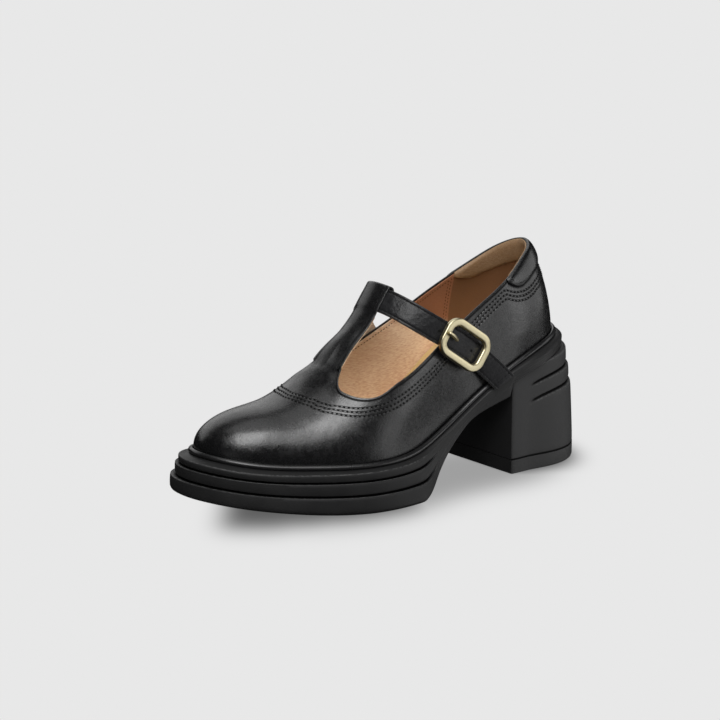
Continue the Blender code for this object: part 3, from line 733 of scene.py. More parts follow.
def ridge_share(across, station):
    """0 on the ridge line and 1 on the feather line."""
    ridge = last_column(2, station)
    edge = np.where(across >= ridge, side_across(station, True), side_across(station, False))
    straight = np.abs(across - ridge) / np.maximum(np.abs(edge - ridge), TINY)
    toe = fan_share(across, station, BALL_CENTRE)
    heel = fan_share(across, station, HEEL_CENTRE)
    toe_weight = smooth_step(BALL_CENTRE - FAN_BLEND, BALL_CENTRE + FAN_BLEND, station)
    heel_weight = smooth_step(HEEL_CENTRE + FAN_BLEND, HEEL_CENTRE - FAN_BLEND, station)
    share = straight * (1 - toe_weight - heel_weight) + toe * toe_weight + heel * heel_weight
    return np.clip(share, 0.0, 1.0)


def last_height(across, station):
    """Height of the last's surface over a point in plan."""
    across = np.asarray(across, float)
    station = np.asarray(station, float)
    fullness = last_column(4, np.clip(station, HEEL_CENTRE, BALL_CENTRE))
    lift = (1.0 - ridge_share(across, station) ** fullness) ** (1.0 / fullness)
    return feather_height(station) + last_column(3, station) * lift


# How far sole and heel stand out of the feather line, and the shared frame under their outline's middle


def sole_scale(station):
    """The forefoot tiers stand out further at the toe than at the ball."""
    return OFFSET_AT_BALL + (1 - OFFSET_AT_BALL) * smooth_step(*OFFSET_GROWS, station)


def sole_offsets(row, station):
    """How far a row of the sole's side stands out of the feather line."""
    forefoot = smooth_step(*TIER_FADE, station)
    heel = 1 - smooth_step(*HEEL_BAND_FADE, station)
    return (row[2] * sole_scale(station) * forefoot
            + row[4] * heel + row[3] * (1 - forefoot - heel))


def heel_offsets(outward, station):
    """How far a row of the heel stands out: most at its back, and the same for all rows at its front."""
    back = smooth_step(*HEEL_TIERS_FADE, station)
    return HEEL_FRONT_OFFSET + (outward - HEEL_FRONT_OFFSET) * back


def to_frame(points):
    """Rows of (across, station, height) in millimetres as (x, y, z) in metres in the shoe's frame."""
    points = np.asarray(points, float)
    x = points[..., 0] - MIDDLE_ACROSS
    y = MIDDLE_STATION - points[..., 1]
    return np.stack([x, y, points[..., 2]], axis=-1) * MM


# Meshes from rows of points


def numbered(rows):
    """Vertex numbers of rows of points, from 0."""
    rows = np.asarray(rows)
    return np.arange(rows.shape[0] * rows.shape[1]).reshape(rows.shape[:2])


def faces_between(index, closed):
    """Quads between neighbouring rows of vertex numbers; a closed row runs round to its first."""
    right = np.roll(index, -1, axis=1)
    quads = np.stack([index[:-1], right[:-1], right[1:], index[1:]], axis=-1)
    if not closed:
        quads = quads[:, :-1]
    return quads.reshape(-1, 4).tolist()


def ladder(ring):
    """Faces that close a ring with rungs from its outer to its inner side."""
    ring = list(ring)
    half = len(ring) // 2
    outer = ring[:half + 1]
    inner = [ring[0]] + ring[:len(ring) - half - 1:-1]
    return [list(dict.fromkeys((outer[k], inner[k], inner[k + 1], outer[k + 1]))) for k in range(half)]


def make_piece(name, points, faces, materials, attributes=None, turn_out=True):
    """A smooth mesh object at the origin, with its faces turned outwards."""
    mesh = bpy.data.meshes.new(name)
    mesh.from_pydata(np.asarray(points).tolist(), [], faces)
    mesh.update()
    for key, values in (attributes or {}).items():
        layer = mesh.attributes.new(key, "FLOAT", "POINT")
        layer.data.foreach_set("value", np.asarray(values, np.float32))
    if turn_out:
        bm = bmesh.new()
        bm.from_mesh(mesh)
        bmesh.ops.recalc_face_normals(bm, faces=bm.faces)
        bm.to_mesh(mesh)
        bm.free()
    mesh.shade_smooth()
    mesh.set_sharp_from_angle(angle=math.radians(SHARP_ANGLE))
    for material in materials:
        mesh.materials.append(material)
    piece = bpy.data.objects.new(name, mesh)
    bpy.context.scene.collection.objects.link(piece)
    return piece


def ring_solid(name, rows, materials):
    """Solid from rings round the foot, closed by a ladder at each end; rows may hold lip wear and painted
    shade marks.
    """
    rows = np.array(rows, float)
    points = to_frame(rows[..., :3])
    index = numbered(points)
    faces = faces_between(index, closed=True) + ladder(index[0]) + ladder(index[-1])
    held = np.moveaxis(rows[..., 3:], -1, 0)
    attributes = {key: values.ravel() for key, values in zip(("lip", "painted_shade"), held)}
    return make_piece(name, points.reshape(-1, 3), faces, materials, attributes)


def tube_solid(name, rows, materials, ring_closed, attributes=None):
    """Solid from sections joined one to the next: a closed ring of sections, or a run with two end faces."""
    points = np.array(rows)
    index = numbered(points)
    joined = np.vstack([index, index[:1]]) if ring_closed else index
    faces = faces_between(joined, closed=True)
    if not ring_closed:
        faces += [index[0].tolist(), index[-1].tolist()]
    return make_piece(name, points.reshape(-1, 3), faces, materials, attributes)


def eased(rows):
    """The rows again with every corner between them cut once, which rounds it."""
    kept = 1 - CORNER_CUT
    cut = [rows[0]]
    for upper, lower in zip(rows, rows[1:]):
        cut += [upper * kept + lower * CORNER_CUT, upper * CORNER_CUT + lower * kept]
    return cut + [rows[-1]]


def raised(plan, height):
    """Points in plan with their height, which may be one for all."""
    return np.column_stack([plan, np.broadcast_to(height, len(plan))])


def apply_modifiers(piece):
    """Turns the piece with its modifiers into a plain mesh."""
    bpy.context.view_layer.update()
    evaluated = piece.evaluated_get(bpy.context.evaluated_depsgraph_get())
    mesh = bpy.data.meshes.new_from_object(evaluated)
    piece.modifiers.clear()
    piece.data = mesh
    mesh.name = piece.name


def thicken(piece, thickness):
    """Gives a surface a wall on its inner side, with round edges in its last material, as a plain mesh."""
    shell = piece.modifiers.new("wall", "SOLIDIFY")
    shell.material_offset_rim = len(piece.data.materials) - 1
    shell.thickness = thickness * MM
    shell.offset = -1.0
    shell.use_even_offset = True
    shell.use_quality_normals = True
    edge = piece.modifiers.new("edge", "BEVEL")
    edge.width = min(EDGE_ROUND, thickness * EDGE_ROUND_SHARE) * MM
    edge.segments = EDGE_SEGMENTS
    edge.limit_method = "ANGLE"
    edge.angle_limit = math.radians(EDGE_ANGLE)
    apply_modifiers(piece)


# Sole, welt, insole and heel


def marks(name, strength):
    """Wear of a lip, and painted shade in a groove, along a row of the rubber, told by the row's name."""
    lip = "crown" in name
    painted_shade = "groove" in name or name == "body foot"
    return np.stack([strength * lip, strength * painted_shade], axis=1)


def make_outsole(material):
    """The sole's moulding with its tiers, which fade out at the waist."""
    station = RING[:, 1]
    top = feather_height(station) - SEAT_DEPTH
    bottom = underside_height(station)
    forefoot = smooth_step(*TIER_FADE, station)
    rows = []
    for row in SOLE_SIDE:
        plan = RING + RING_NORMALS * sole_offsets(row, station)[:, None]
        height = top + (bottom - top) * (row[1] + row[5] * forefoot)
        rows.append(np.column_stack([raised(plan, height), marks(row[0], forefoot)]))
    return ring_solid("platform_sole", eased(rows), [material])


def make_welt(material):
    """The welt's profile carried once round the feather line."""
    sections = []
    for outward, depth in WELT_PROFILE:
        plan = RING + RING_NORMALS * outward
        sections.append(to_frame(raised(plan, feather_height(RING[:, 1]) - depth)))
    sections = np.swapaxes(np.array(sections), 0, 1)
    return tube_solid("welt_roll", sections, [material], ring_closed=True)


def make_insole(material):
    """The footbed inside the upper, with an eased upper edge."""
    foot = feather_height(RING[:, 1]) - SEAT_DEPTH + GAP
    plan = RING - RING_NORMALS * (UPPER_WALL + GAP)
    rows = [raised(plan - RING_NORMALS * INSOLE_EASE, foot + INSOLE_THICKNESS),
            raised(plan, foot + INSOLE_THICKNESS - INSOLE_EASE),
            raised(plan, foot)]
    return ring_solid("footbed", rows, [material])


def heel_ring(outward, cut=0.0):
    """The heel's outline in plan: round the back, straight across the breast, with eased corners."""
    breast = BREAST - GAP
    corner_start = breast - HEEL_CORNER
    stations = np.append(STATIONS[STATIONS < corner_start - HEEL_CORNER_CLEAR], corner_start)
    groove = smooth_step(*HEEL_GROOVE_ENDS, stations) * (1 - smooth_step(*HEEL_TIERS_FADE, stations))
    offsets = (heel_offsets(outward, stations) - cut * groove)[:, None]
    turn = np.linspace(0.0, math.pi / 2, HEEL_CORNER_STEPS + 1)[1:]
    sides = []
    for outer, inwards in ((True, -HEEL_CORNER), (False, HEEL_CORNER)):
        side = np.stack([side_across(stations, outer), stations], axis=1)
        side = side + side_normals(stations, outer) * offsets
        corner = np.stack([side[-1, 0] + inwards * (1 - np.cos(turn)),
                           corner_start + HEEL_CORNER * np.sin(turn)], axis=1)
        sides.append(np.vstack([side, corner]))
    return np.vstack([sides[0], sides[1][:0:-1]])


def heel_marks(name, station):
    """Marks of the heel's tiers fade out on its sides; its foot has painted shade all round."""
    return np.ones(len(station)) if name == "body foot" else smooth_step(*HEEL_GROOVE_ENDS, station)


def paint_breast_shade(piece):
    """Gives the heel's flat front, which faces the arch, the second material: a darker rubber as painted
    shade.
    """
    for face in piece.data.polygons:
        face.material_index = 1 if face.normal.y < -BREAST_FACING else 0
    return piece


def make_heel(materials):
    """The heel block with its tiers at the back."""
    rows = []
    for name, depth, levelling, outward, cut in HEEL_SIDE:
        plan = heel_ring(outward, cut)
        height = feather_height(plan[:, 1].clip(FEATHER_LINE[0][1])) - depth
        level = height + (HEEL_TIP_HEIGHT + GAP - height) * levelling
        rows.append(np.column_stack([raised(plan, level), marks(name, heel_marks(name, plan[:, 1]))]))
    return paint_breast_shade(ring_solid("heel_block", eased(rows), materials))


def make_heel_tip(materials):
    """The wearing piece under the heel, with painted shade along the seam above it."""
    foot = HEEL_SIDE[-2][3]
    rows = []
    for k, (height, inward) in enumerate(HEEL_TIP_SIDE):
        plan = heel_ring(foot - inward)
        lip = np.zeros(len(plan))
        painted_shade = np.full(len(plan), k == 0)
        rows.append(np.column_stack([raised(plan, height), lip, painted_shade]))
    return paint_breast_shade(ring_solid("heel_top_piece", rows, materials))


# Upper: the wall's outer surface as a grid of columns round the foot


def topline_height(station, outer):
    """Height of the quarters' upper edge on one side."""
    knots = column(TOPLINE, 1)
    heights = column(TOPLINE, 2 if outer else 3)
    return spline(knots, heights, np.clip(station, knots[0], knots[-1]))


def topline_points(feet, outer):
    """Where the wall that rises from each feather point meets the topline, by halving."""
    spine_stations = np.clip(feet[:, 1], HEEL_CENTRE, BALL_CENTRE)
    spine = np.stack([last_column(2, spine_stations), spine_stations], axis=1)
    low = np.zeros(len(feet))
    high = np.ones(len(feet))
    for _ in range(HALVINGS):
        share = (low + high) / 2
        points = feet + (spine - feet) * share[:, None]
        below = last_height(points[:, 0], points[:, 1]) < topline_height(points[:, 1], outer)
        low = np.where(below, share, low)
        high = np.where(below, high, share)
    return points


def throat_run(start, outer):
    """The topline from the quarter's end round the throat to the T-bar's corner, as a dense run."""
    points = [start]
    for _, station, share in THROAT:
        ridge = last_column(2, station)
        points.append((ridge + share * (side_across(station, outer) - ridge), station))
    return smooth_run(points, RUN_STEPS)


def topline_ring():
    """The wall's inner edge in plan, a point for each point of the feather ring."""
    quarter = int(np.searchsorted(STATIONS, QUARTER_END))
    corner = SIDE_STEPS - BAR_HALF_COLUMNS
    middle = np.array([BAR_CENTRE, THROAT[-1][1] + BAR_BASE_SAG])
    sides = []
    for outer in (True, False):
        feet = np.stack([side_across(STATIONS, outer), STATIONS], axis=1)
        side = topline_points(feet[:quarter], outer)
        throat = resample(throat_run(side[-1], outer), corner - quarter + 2)[1:]
        base = np.linspace(throat[-1], middle, BAR_HALF_COLUMNS + 1)[1:]
        sides.append(np.vstack([side, throat, base]))
    return round_the_foot(*sides)


def wall_grid(start):
    """Rows of the wall's outer face from below the topline to the feather line, and each point's depth."""
    dense_share = np.linspace(0.0, 1.0, RUN_STEPS) ** RUN_CROWD
    row_share = 1 - (1 - np.linspace(0.0, 1.0, WALL_ROWS + 1)) ** WALL_CROWD
    columns = []
    depths = []
    for foot, top in zip(RING, topline_ring()):
        plan = foot + (top - foot) * dense_share[:, None]
        points = np.column_stack([plan, last_height(plan[:, 0], plan[:, 1])])[::-1]
        along = along_chords(points)
        at = start + (along[-1] - start) * row_share
        columns.append(np.stack([np.interp(at, along, points[:, k]) for k in range(3)], axis=1))
        depths.append(at)
    return np.swapaxes(np.array(columns), 0, 1), np.array(depths).T


def strap_curve(share):
    """Across, fall and drift of the strap's centre line, from its inner end (0) to its free end (1)."""
    points = np.stack([column(STRAP_PATH, k) for k in (1, 2, 3)], axis=1)
    along = along_chords(points)
    return np.stack([spline(along, points[:, k], share * along[-1]) for k in range(3)], axis=1)


def strap_point(across, fall, along_bar):
    """A point of the strap's plane, moved along the bar, as (across, station, height)."""
    station = STRAP_STATION - BAR_NORMAL[0] * fall + BAR_DIRECTION[0] * along_bar
    height = STRAP_HEIGHT - BAR_NORMAL[1] * fall + BAR_DIRECTION[1] * along_bar
    return np.stack(np.broadcast_arrays(across, station, height), axis=-1)


def bar_crown(across):
    """How far the strap, and the bar over it, fall away from the bar's middle."""
    curve = strap_curve(np.linspace(0.0, 1.0, RUN_STEPS))
    return np.interp(across, curve[:, 0], curve[:, 1]) - STRAP_DEPTH_IN_BAR


def bar_rows(base):
    """Rows of the T-bar from its base on the vamp, up the instep and folded back behind the strap."""
    mid = len(base) // 2
    spread = np.linspace(1.0, -1.0, len(base))
    across = BAR_CENTRE + spread * BAR_HALF_WIDTH
    crown = bar_crown(across)
    top_along = STRAP_WIDTH / 2 + BAR_TOP_ABOVE_STRAP
    straight_foot = strap_point(BAR_CENTRE, 0.0, -STRAP_WIDTH / 2)
    straight_top = strap_point(BAR_CENTRE, 0.0, top_along)
    path = [base[mid, 1:]] + [row[1:] for row in BAR_PATH]
    path = np.array(path + [straight_foot[1:], straight_top[1:]])
    along = along_chords(path)
    at = np.linspace(0.0, along[-1], BAR_ROWS + 1)[1:]
    centre = np.stack([spline(along, path[:, k], at) for k in (0, 1)], axis=1)
    slope = np.gradient(np.vstack([path[:1], centre]), axis=0)[1:]
    slope /= np.linalg.norm(slope, axis=1, keepdims=True)
    rows = []
    for point, (run, rise), share in zip(centre, slope, at / along[-1]):
        blend = smooth_step(0.0, BAR_BLEND, share)
        wide = base[:, 0] + (across - base[:, 0]) * blend
        vamp_fall = base[mid, 2] - base[:, 2]
        fall = vamp_fall + (crown - vamp_fall) * blend
        rows.append(np.column_stack([wide, point[0] - rise * fall, point[1] + run * fall]))
    radius = STRAP_DEPTH_IN_BAR
    for step in range(1, BAR_FOLD_STEPS + 1):
        turn = math.pi * step / BAR_FOLD_STEPS
        fall = crown + radius * (1 - math.cos(turn))
        rows.append(strap_point(across, fall, top_along + BAR_FOLD_REACH * math.sin(turn)))
    for step in range(1, BAR_FOLD_ROWS + 1):
        rows.append(strap_point(across, crown + 2 * radius, top_along - BAR_TAIL * step / BAR_FOLD_ROWS))
    return rows


def table_at(table, place):
    """A table's value at places round the upper."""
    return np.interp(place, column(table, 0), column(table, 1))


class Wall:
    """The upper's outer surface: a grid of columns round the foot, with the T-bar's grid above its base."""

    def __init__(self, start, bar_count):
        self.grid, self.depth = wall_grid(start)
        corner = SIDE_STEPS - BAR_HALF_COLUMNS
        under_bar = slice(corner, corner + 2 * BAR_HALF_COLUMNS + 1)
        bar = np.array(bar_rows(self.grid[0, under_bar])[:bar_count])
        self.soften_bar_foot(bar, slice(under_bar.start + 1, under_bar.stop - 1))
        seat = np.column_stack([RING, feather_height(RING[:, 1]) - SEAT_DEPTH + GAP])
        grid = np.concatenate([self.grid, seat[None]])
        self.points = np.vstack([to_frame(grid).reshape(-1, 3), to_frame(bar).reshape(-1, 3)])
        self.index = numbered(grid)
        bar_index = np.vstack([self.index[0, under_bar], numbered(bar) + self.index.size])
        self.faces = faces_between(self.index, closed=True)
        self.faces += faces_between(bar_index[::-1], closed=False)
        self.attributes = self.measure_attributes(under_bar, len(bar))
        self.normals = self.measure_normals()

    def measure_attributes(self, under_bar, bar_count):
        """Distances below the edge, the seam's middle row and the pad, in millimetres, for the leather."""
        depth = np.vstack([self.depth, self.depth[-1:] + SEAT_DEPTH])
        seam = depth - table_at(SEAM_DEPTH, RING_PLACES)
        on_pad = RING_PLACES < PAD_EDGE[-1][0]
        below_pad = np.where(on_pad, depth - table_at(PAD_EDGE, RING_PLACES), NO_PAD)
        inset = (1 - np.abs(np.linspace(-1.0, 1.0, 2 * BAR_HALF_COLUMNS + 1))) * BAR_HALF_WIDTH
        depth[:, under_bar] = np.hypot(depth[:, under_bar], inset)
        bar_depth = np.tile(inset, bar_count)
        bar_seam = np.full(len(bar_depth), -SEAM_DEPTH[-1][1])
        bar_pad = np.full(len(bar_depth), NO_PAD)
        return {"depth": np.append(depth, bar_depth),
                "seam": np.append(seam, bar_seam),
                "below_pad": np.append(below_pad, bar_pad)}

    def soften_bar_foot(self, bar, columns):
        """Rounds the change of slope where the T-bar rises from the vamp, away from the bar's edges."""
        run = np.concatenate([bar[BAR_FOOT_ROWS - 1::-1, 1:-1], self.grid[:BAR_FOOT_ROWS + 1, columns]])
        middle = np.arange(len(run)) - BAR_FOOT_ROWS
        inward = np.arange(1, run.shape[1] + 1)
        inward = np.minimum(inward, inward[::-1])
        hold = (smooth_step(BAR_FOOT_ROWS, BAR_FOOT_ROWS / 2, np.abs(middle))[1:-1, None, None]
                * smooth_step(0.0, BAR_FOOT_FADE, inward)[None, :, None])
        for _ in range(BAR_FOOT_PASSES):
            run[1:-1] += hold * (0.25 * run[:-2] - 0.5 * run[1:-1] + 0.25 * run[2:])
        bar[:BAR_FOOT_ROWS, 1:-1] = run[BAR_FOOT_ROWS - 1::-1]
        self.grid[:BAR_FOOT_ROWS + 1, columns] = run[BAR_FOOT_ROWS:]

    def measure_normals(self):
        """Directions out of the surface at its points, from a mesh that is not kept."""
        mesh = bpy.data.meshes.new("measure")
        mesh.from_pydata(self.points.tolist(), [], self.faces)
        mesh.update()
        normals = np.zeros(len(self.points) * 3, np.float32)
        mesh.vertex_normals.foreach_get("vector", normals)
        bpy.data.meshes.remove(mesh)
        return normals.reshape(-1, 3).astype(float)

    def at(self, place_index, depth, out):
        """Points on one column at depths below the topline, moved out of the surface, in metres."""
        rows = self.index[:-1, place_index]
        spots = np.stack([np.interp(depth, self.depth[:, place_index], self.points[rows, k])
                          for k in range(3)], axis=1)
        leans = np.stack([np.interp(depth, self.depth[:, place_index], self.normals[rows, k])
                          for k in range(3)], axis=1)
        leans /= np.linalg.norm(leans, axis=1, keepdims=True)
        return spots + leans * (np.broadcast_to(out, len(spots)) * MM)[:, None]


def crease_heights(points):
    """How far the creases lift each point out of the surface, in millimetres."""
    lift = np.zeros(len(points))
    for _, height, half_width, run in CREASES:
        plan = smooth_run(run, CREASE_STEPS)
        line = to_frame(np.column_stack([plan, last_height(plan[:, 0], plan[:, 1])]))
        apart = np.linalg.norm(points[:, None, :] - line[None, :, :], axis=2).min(axis=1) / MM
        lift += height * np.exp(-(apart / half_width) ** 2)
    across = points[:, 0] / MM + MIDDLE_ACROSS
    station = MIDDLE_STATION - points[:, 1] / MM
    height = points[:, 2] / MM
    along = (station - STRAP_STATION) * BAR_DIRECTION[0] + (height - STRAP_HEIGHT) * BAR_DIRECTION[1]
    fall = (STRAP_STATION - station) * BAR_NORMAL[0] + (STRAP_HEIGHT - height) * BAR_NORMAL[1]
    beside = np.abs(across - BAR_CENTRE)
    on_bar = (beside <= BAR_HALF_WIDTH + BAR_SINK_MARGIN) & (fall < STRAP_DEPTH_IN_BAR)
    sunk = smooth_step(BAR_SINK_FROM, BAR_SINK_TO, along) * smooth_step(BAR_SINK_END, BAR_SINK_TO, along)
    return lift - BAR_SINK * sunk * on_bar


def make_upper(wall, materials):
    """The upper's leather with its creases, and its painted edge in the last material."""
    points = wall.points + wall.normals * (crease_heights(wall.points) * MM)[:, None]
    piece = make_piece("upper_leather", points, wall.faces, materials, wall.attributes, turn_out=False)
    thicken(piece, LEATHER_THICKNESS)
    return piece


def make_lining(wall, material):
    """The lining, a thin wall of its own inside the leather."""
    lift = crease_heights(wall.points) - LINING_OFFSET
    points = wall.points + wall.normals * (lift * MM)[:, None]
    piece = make_piece("upper_lining", points, wall.faces, [material], wall.attributes, turn_out=False)
    thicken(piece, LINING_THICKNESS)
    return piece


def make_collar_pad(name, wall, edge_table, puff, side, skin, material):
    """A stuffed panel along the collar's back, on one side of the wall, from one front end to the other."""
    end = int(edge_table[-1][0] * SIDE_STEPS)
    face = np.linspace(0.0, 1.0, PAD_FACE_STEPS)
    hidden = face[::-PAD_BACK_STRIDE]
    bulge = np.sqrt(1 - np.abs(2 * face - 1) ** PAD_ROUNDNESS)
    sections = []
    for place in range(end, -end - 1, -1):
        depth = float(table_at(edge_table, RING_PLACES[place]))
        full = puff * smooth_step(0.0, puff * PAD_FADE, depth)
        front = wall.at(place, face * depth, side * (skin + bulge * full))
        back = wall.at(place, hidden * depth, side * (skin - PAD_SINK))
        sections.append(np.vstack([front, back]))
    low = np.append(face, np.ones(len(hidden)))
    attributes = {"low": np.tile(low, len(sections))}
    return tube_solid(name, sections, [material], ring_closed=False, attributes=attributes)


# Strap and buckle


def strap_frame(share, side):
    """Points of the strap's middle layer at a distance along its width, and directions out of it."""
    slant = STRAP_END_SLANT * smooth_step(*STRAP_SLANT_FROM, share)
    curve = strap_curve(share + side / (STRAP_WIDTH / 2) * slant)
    along = np.gradient(curve[:, :2], axis=0)
    out = np.stack([along[:, 1], -along[:, 0]], axis=1)
    out /= np.linalg.norm(out, axis=1, keepdims=True)
    return curve, out


def strap_surface(share, side, out):
    """Points of the strap in metres: along it, along its width and out of its middle layer."""
    curve, lean = strap_frame(share, side)
    skin = curve[:, :2] + lean * np.broadcast_to(out, len(share))[:, None]
    return to_frame(strap_point(skin[:, 0], skin[:, 1], curve[:, 2] + side))


def make_strap(materials):
    """The strap, thinner at its two ends; its materials are in the order of its finishes."""
    share = np.linspace(0.0, 1.0, STRAP_STEPS + 1)
    end_ease = np.ones(len(share))
    end_ease[[0, -1]] = STRAP_END_EASE
    rows = [strap_surface(share, side, out * end_ease) for side, out, _ in STRAP_SECTION]
    sections = np.swapaxes(np.array(rows), 0, 1)
    piece = tube_solid("strap_leather", sections, materials, ring_closed=False)
    finishes = [STRAP_FINISHES.index(finish) for _, _, finish in STRAP_SECTION]
    for face in range(STRAP_STEPS * len(finishes)):
        piece.data.polygons[face].material_index = finishes[face % len(finishes)]
    return piece


def make_strap_holes(material):
    """Punched holes in the strap, as flat near-black lenses on its face that paint the shade inside them."""
    dense = np.linspace(*STRAP_OUTER_HALF, DENSE_STEPS)
    shares = np.interp(STRAP_HOLE_FALLS, strap_curve(dense)[:, 1], dense)
    angles = np.linspace(0.0, 2 * math.pi, STRAP_HOLE_SIDES, endpoint=False)
    face = STRAP_SECTION[len(STRAP_SECTION) // 2][1]
    points = []
    faces = []
    for share in shares:
        run = share + np.array([-1.0, 0.0, 1.0]) * STRAP_HOLE_RADIUS / STRAP_LENGTH
        behind, middle, ahead = strap_surface(run, 0.0, face)
        aside = strap_surface(run, STRAP_HOLE_RADIUS, face)[1] - middle
        along = (ahead - behind) / np.linalg.norm(ahead - behind) * np.linalg.norm(aside)
        out = strap_surface(run, 0.0, face + STRAP_HOLE_LENS)[1] - middle
        first = len(points)
        points += [middle + along * math.cos(angle) + aside * math.sin(angle) for angle in angles]
        points += [middle + out, middle - out]
        for k in range(STRAP_HOLE_SIDES):
            here = first + k
            following = first + (k + 1) % STRAP_HOLE_SIDES
            crown = first + STRAP_HOLE_SIDES
            faces += [(here, following, crown), (following, here, crown + 1)]
    return make_piece("strap_holes", points, faces, [material])


def buckle_axes():
    """Place of the buckle's frame: on the strap, along it, across it and out of it."""
    curve = strap_curve(np.linspace(*STRAP_OUTER_HALF, DENSE_STEPS))
    falls = BUCKLE_FALL + np.array([-1, 0, 1]) * BUCKLE_LENGTH / 2
    middle_line = [np.interp(falls, curve[:, 1], curve[:, k]) for k in range(3)]
    behind, middle, ahead = to_frame(strap_point(middle_line[0], falls, middle_line[2]))
    along = Vector(ahead - behind).normalized()
    across = Vector((0.0, -BAR_DIRECTION[0], BAR_DIRECTION[1]))
    out = across.cross(along).normalized()
    if out.x < 0:
        out.negate()
    across = out.cross(along)
    rise = (STRAP_THICKNESS / 2 + BUCKLE_STANDOFF) * MM
    place = Matrix((along, across, out)).transposed().to_4x4()
    place.translation = Vector(middle) + out * rise
    return place


def rounded_rectangle(length, width, corner, steps):
    """Points round a rectangle with round corners, centred on the origin."""
    points = []
    for turn, (ahead, aside) in enumerate(((1, 1), (-1, 1), (-1, -1), (1, -1))):
        centre = np.array([ahead * (length / 2 - corner), aside * (width / 2 - corner)])
        for k in range(steps + 1):
            angle = (turn + k / steps) * math.pi / 2
            points.append(centre + corner * np.array([math.cos(angle), math.sin(angle)]))
    return np.array(points)


def placed(points, place):
    """Points in millimetres on the buckle's own axes as metres in the shoe's frame."""
    turn = np.array(place.to_3x3())
    return (points * MM) @ turn.T + np.array(place.translation)


def make_buckle_frame(place, material):
    """A flat frame with bevelled edges, lofted round a rounded rectangle."""
    rows = []
    for inset, height in BUCKLE_PROFILE:
        outline = rounded_rectangle(BUCKLE_LENGTH - 2 * inset, BUCKLE_WIDTH - 2 * inset,
                                    BUCKLE_CORNER - inset, BUCKLE_CORNER_STEPS)
        rows.append(placed(raised(outline, height), place))
    sections = np.swapaxes(np.array(rows), 0, 1)
    return tube_solid("buckle_loop", sections, [material], ring_closed=True)


def make_buckle_prong(place, material):
    """The prong's tip: out of the strap's hole and over the frame's front bar, with a round end."""
    path = smooth_run(PRONG_PATH, PRONG_STEPS)
    along = np.gradient(path, axis=0)
    along /= np.linalg.norm(along, axis=1, keepdims=True)
    angle = np.linspace(0.0, 2 * math.pi, PRONG_SIDES, endpoint=False)
    distance = along_chords(path)
    radius = PRONG_RADIUS * np.sqrt(1 - (1 - np.clip(distance / PRONG_RADIUS, PRONG_TIP, 1.0)) ** 2)
    sections = []
    for point, (run, rise), thick in zip(path, along, radius):
        sideways = np.cos(angle) * thick
        upward = np.sin(angle) * thick
        ring = np.column_stack([point[0] - rise * upward, sideways, point[1] + run * upward])
        sections.append(placed(ring, place))
    return tube_solid("buckle_tongue", sections, [material], ring_closed=False)


# Stitches: a node tree that lays one stitch at every step of each line


def stitch_tree():
    """Lines of a mesh in, one stitch at every step along them out; a random length keeps them uneven."""
    tree = bpy.data.node_groups.new("stitch rows", "GeometryNodeTree")
    face = tree.interface
    face.new_socket("Geometry", in_out="INPUT", socket_type="NodeSocketGeometry")
    for name in ("Step", "Length", "Width", "Unevenness"):
        face.new_socket(name, in_out="INPUT", socket_type="NodeSocketFloat")
    face.new_socket("Thread", in_out="INPUT", socket_type="NodeSocketMaterial")
    face.new_socket("Geometry", in_out="OUTPUT", socket_type="NodeSocketGeometry")
    add = tree.nodes.new
    given = add("NodeGroupInput")
    curve = add("GeometryNodeMeshToCurve")
    steps = add("GeometryNodeResampleCurve")
    steps.mode = "LENGTH"
    ball = add("GeometryNodeMeshUVSphere")
    ball.inputs["Segments"].default_value = STITCH_SEGMENTS
    ball.inputs["Rings"].default_value = STITCH_RINGS
    ball.inputs["Radius"].default_value = 0.5
    tangent = add("GeometryNodeInputTangent")
    turn = add("FunctionNodeAlignRotationToVector")
    turn.axis = "X"
    least = add("ShaderNodeMath")
    least.operation = "SUBTRACT"
    least.inputs[0].default_value = 1.0
    wobble = add("FunctionNodeRandomValue")
    wobble.data_type = "FLOAT"
    wobble.inputs["Seed"].default_value = STITCH_SEED
    wobble_least, wobble_most = [socket for socket in wobble.inputs if socket.type == "VALUE"][:2]
    wobble_most.default_value = 1.0
    wobble_value = [socket for socket in wobble.outputs if socket.type == "VALUE"][0]
    stretched = add("ShaderNodeMath")
    stretched.operation = "MULTIPLY"
    size = add("ShaderNodeCombineXYZ")
    place = add("GeometryNodeInstanceOnPoints")
    real = add("GeometryNodeRealizeInstances")
    paint = add("GeometryNodeSetMaterial")
    made = add("NodeGroupOutput")
    for source, target in (
            (given.outputs["Geometry"], curve.inputs["Mesh"]),
            (curve.outputs["Curve"], steps.inputs["Curve"]),
            (given.outputs["Step"], steps.inputs["Length"]),
            (tangent.outputs["Tangent"], turn.inputs["Vector"]),
            (given.outputs["Unevenness"], least.inputs[1]),
            (least.outputs["Value"], wobble_least),
            (given.outputs["Length"], stretched.inputs[0]),
            (wobble_value, stretched.inputs[1]),
            (stretched.outputs["Value"], size.inputs["X"]),
            (given.outputs["Width"], size.inputs["Y"]),
            (given.outputs["Width"], size.inputs["Z"]),
            (steps.outputs["Curve"], place.inputs["Points"]),
            (ball.outputs["Mesh"], place.inputs["Instance"]),
            (turn.outputs["Rotation"], place.inputs["Rotation"]),
            (size.outputs["Vector"], place.inputs["Scale"]),
            (place.outputs["Instances"], real.inputs["Geometry"]),
            (real.outputs["Geometry"], paint.inputs["Geometry"]),
            (given.outputs["Thread"], paint.inputs["Material"]),
            (paint.outputs["Geometry"], made.inputs["Geometry"])):
        tree.links.new(source, target)
    return tree


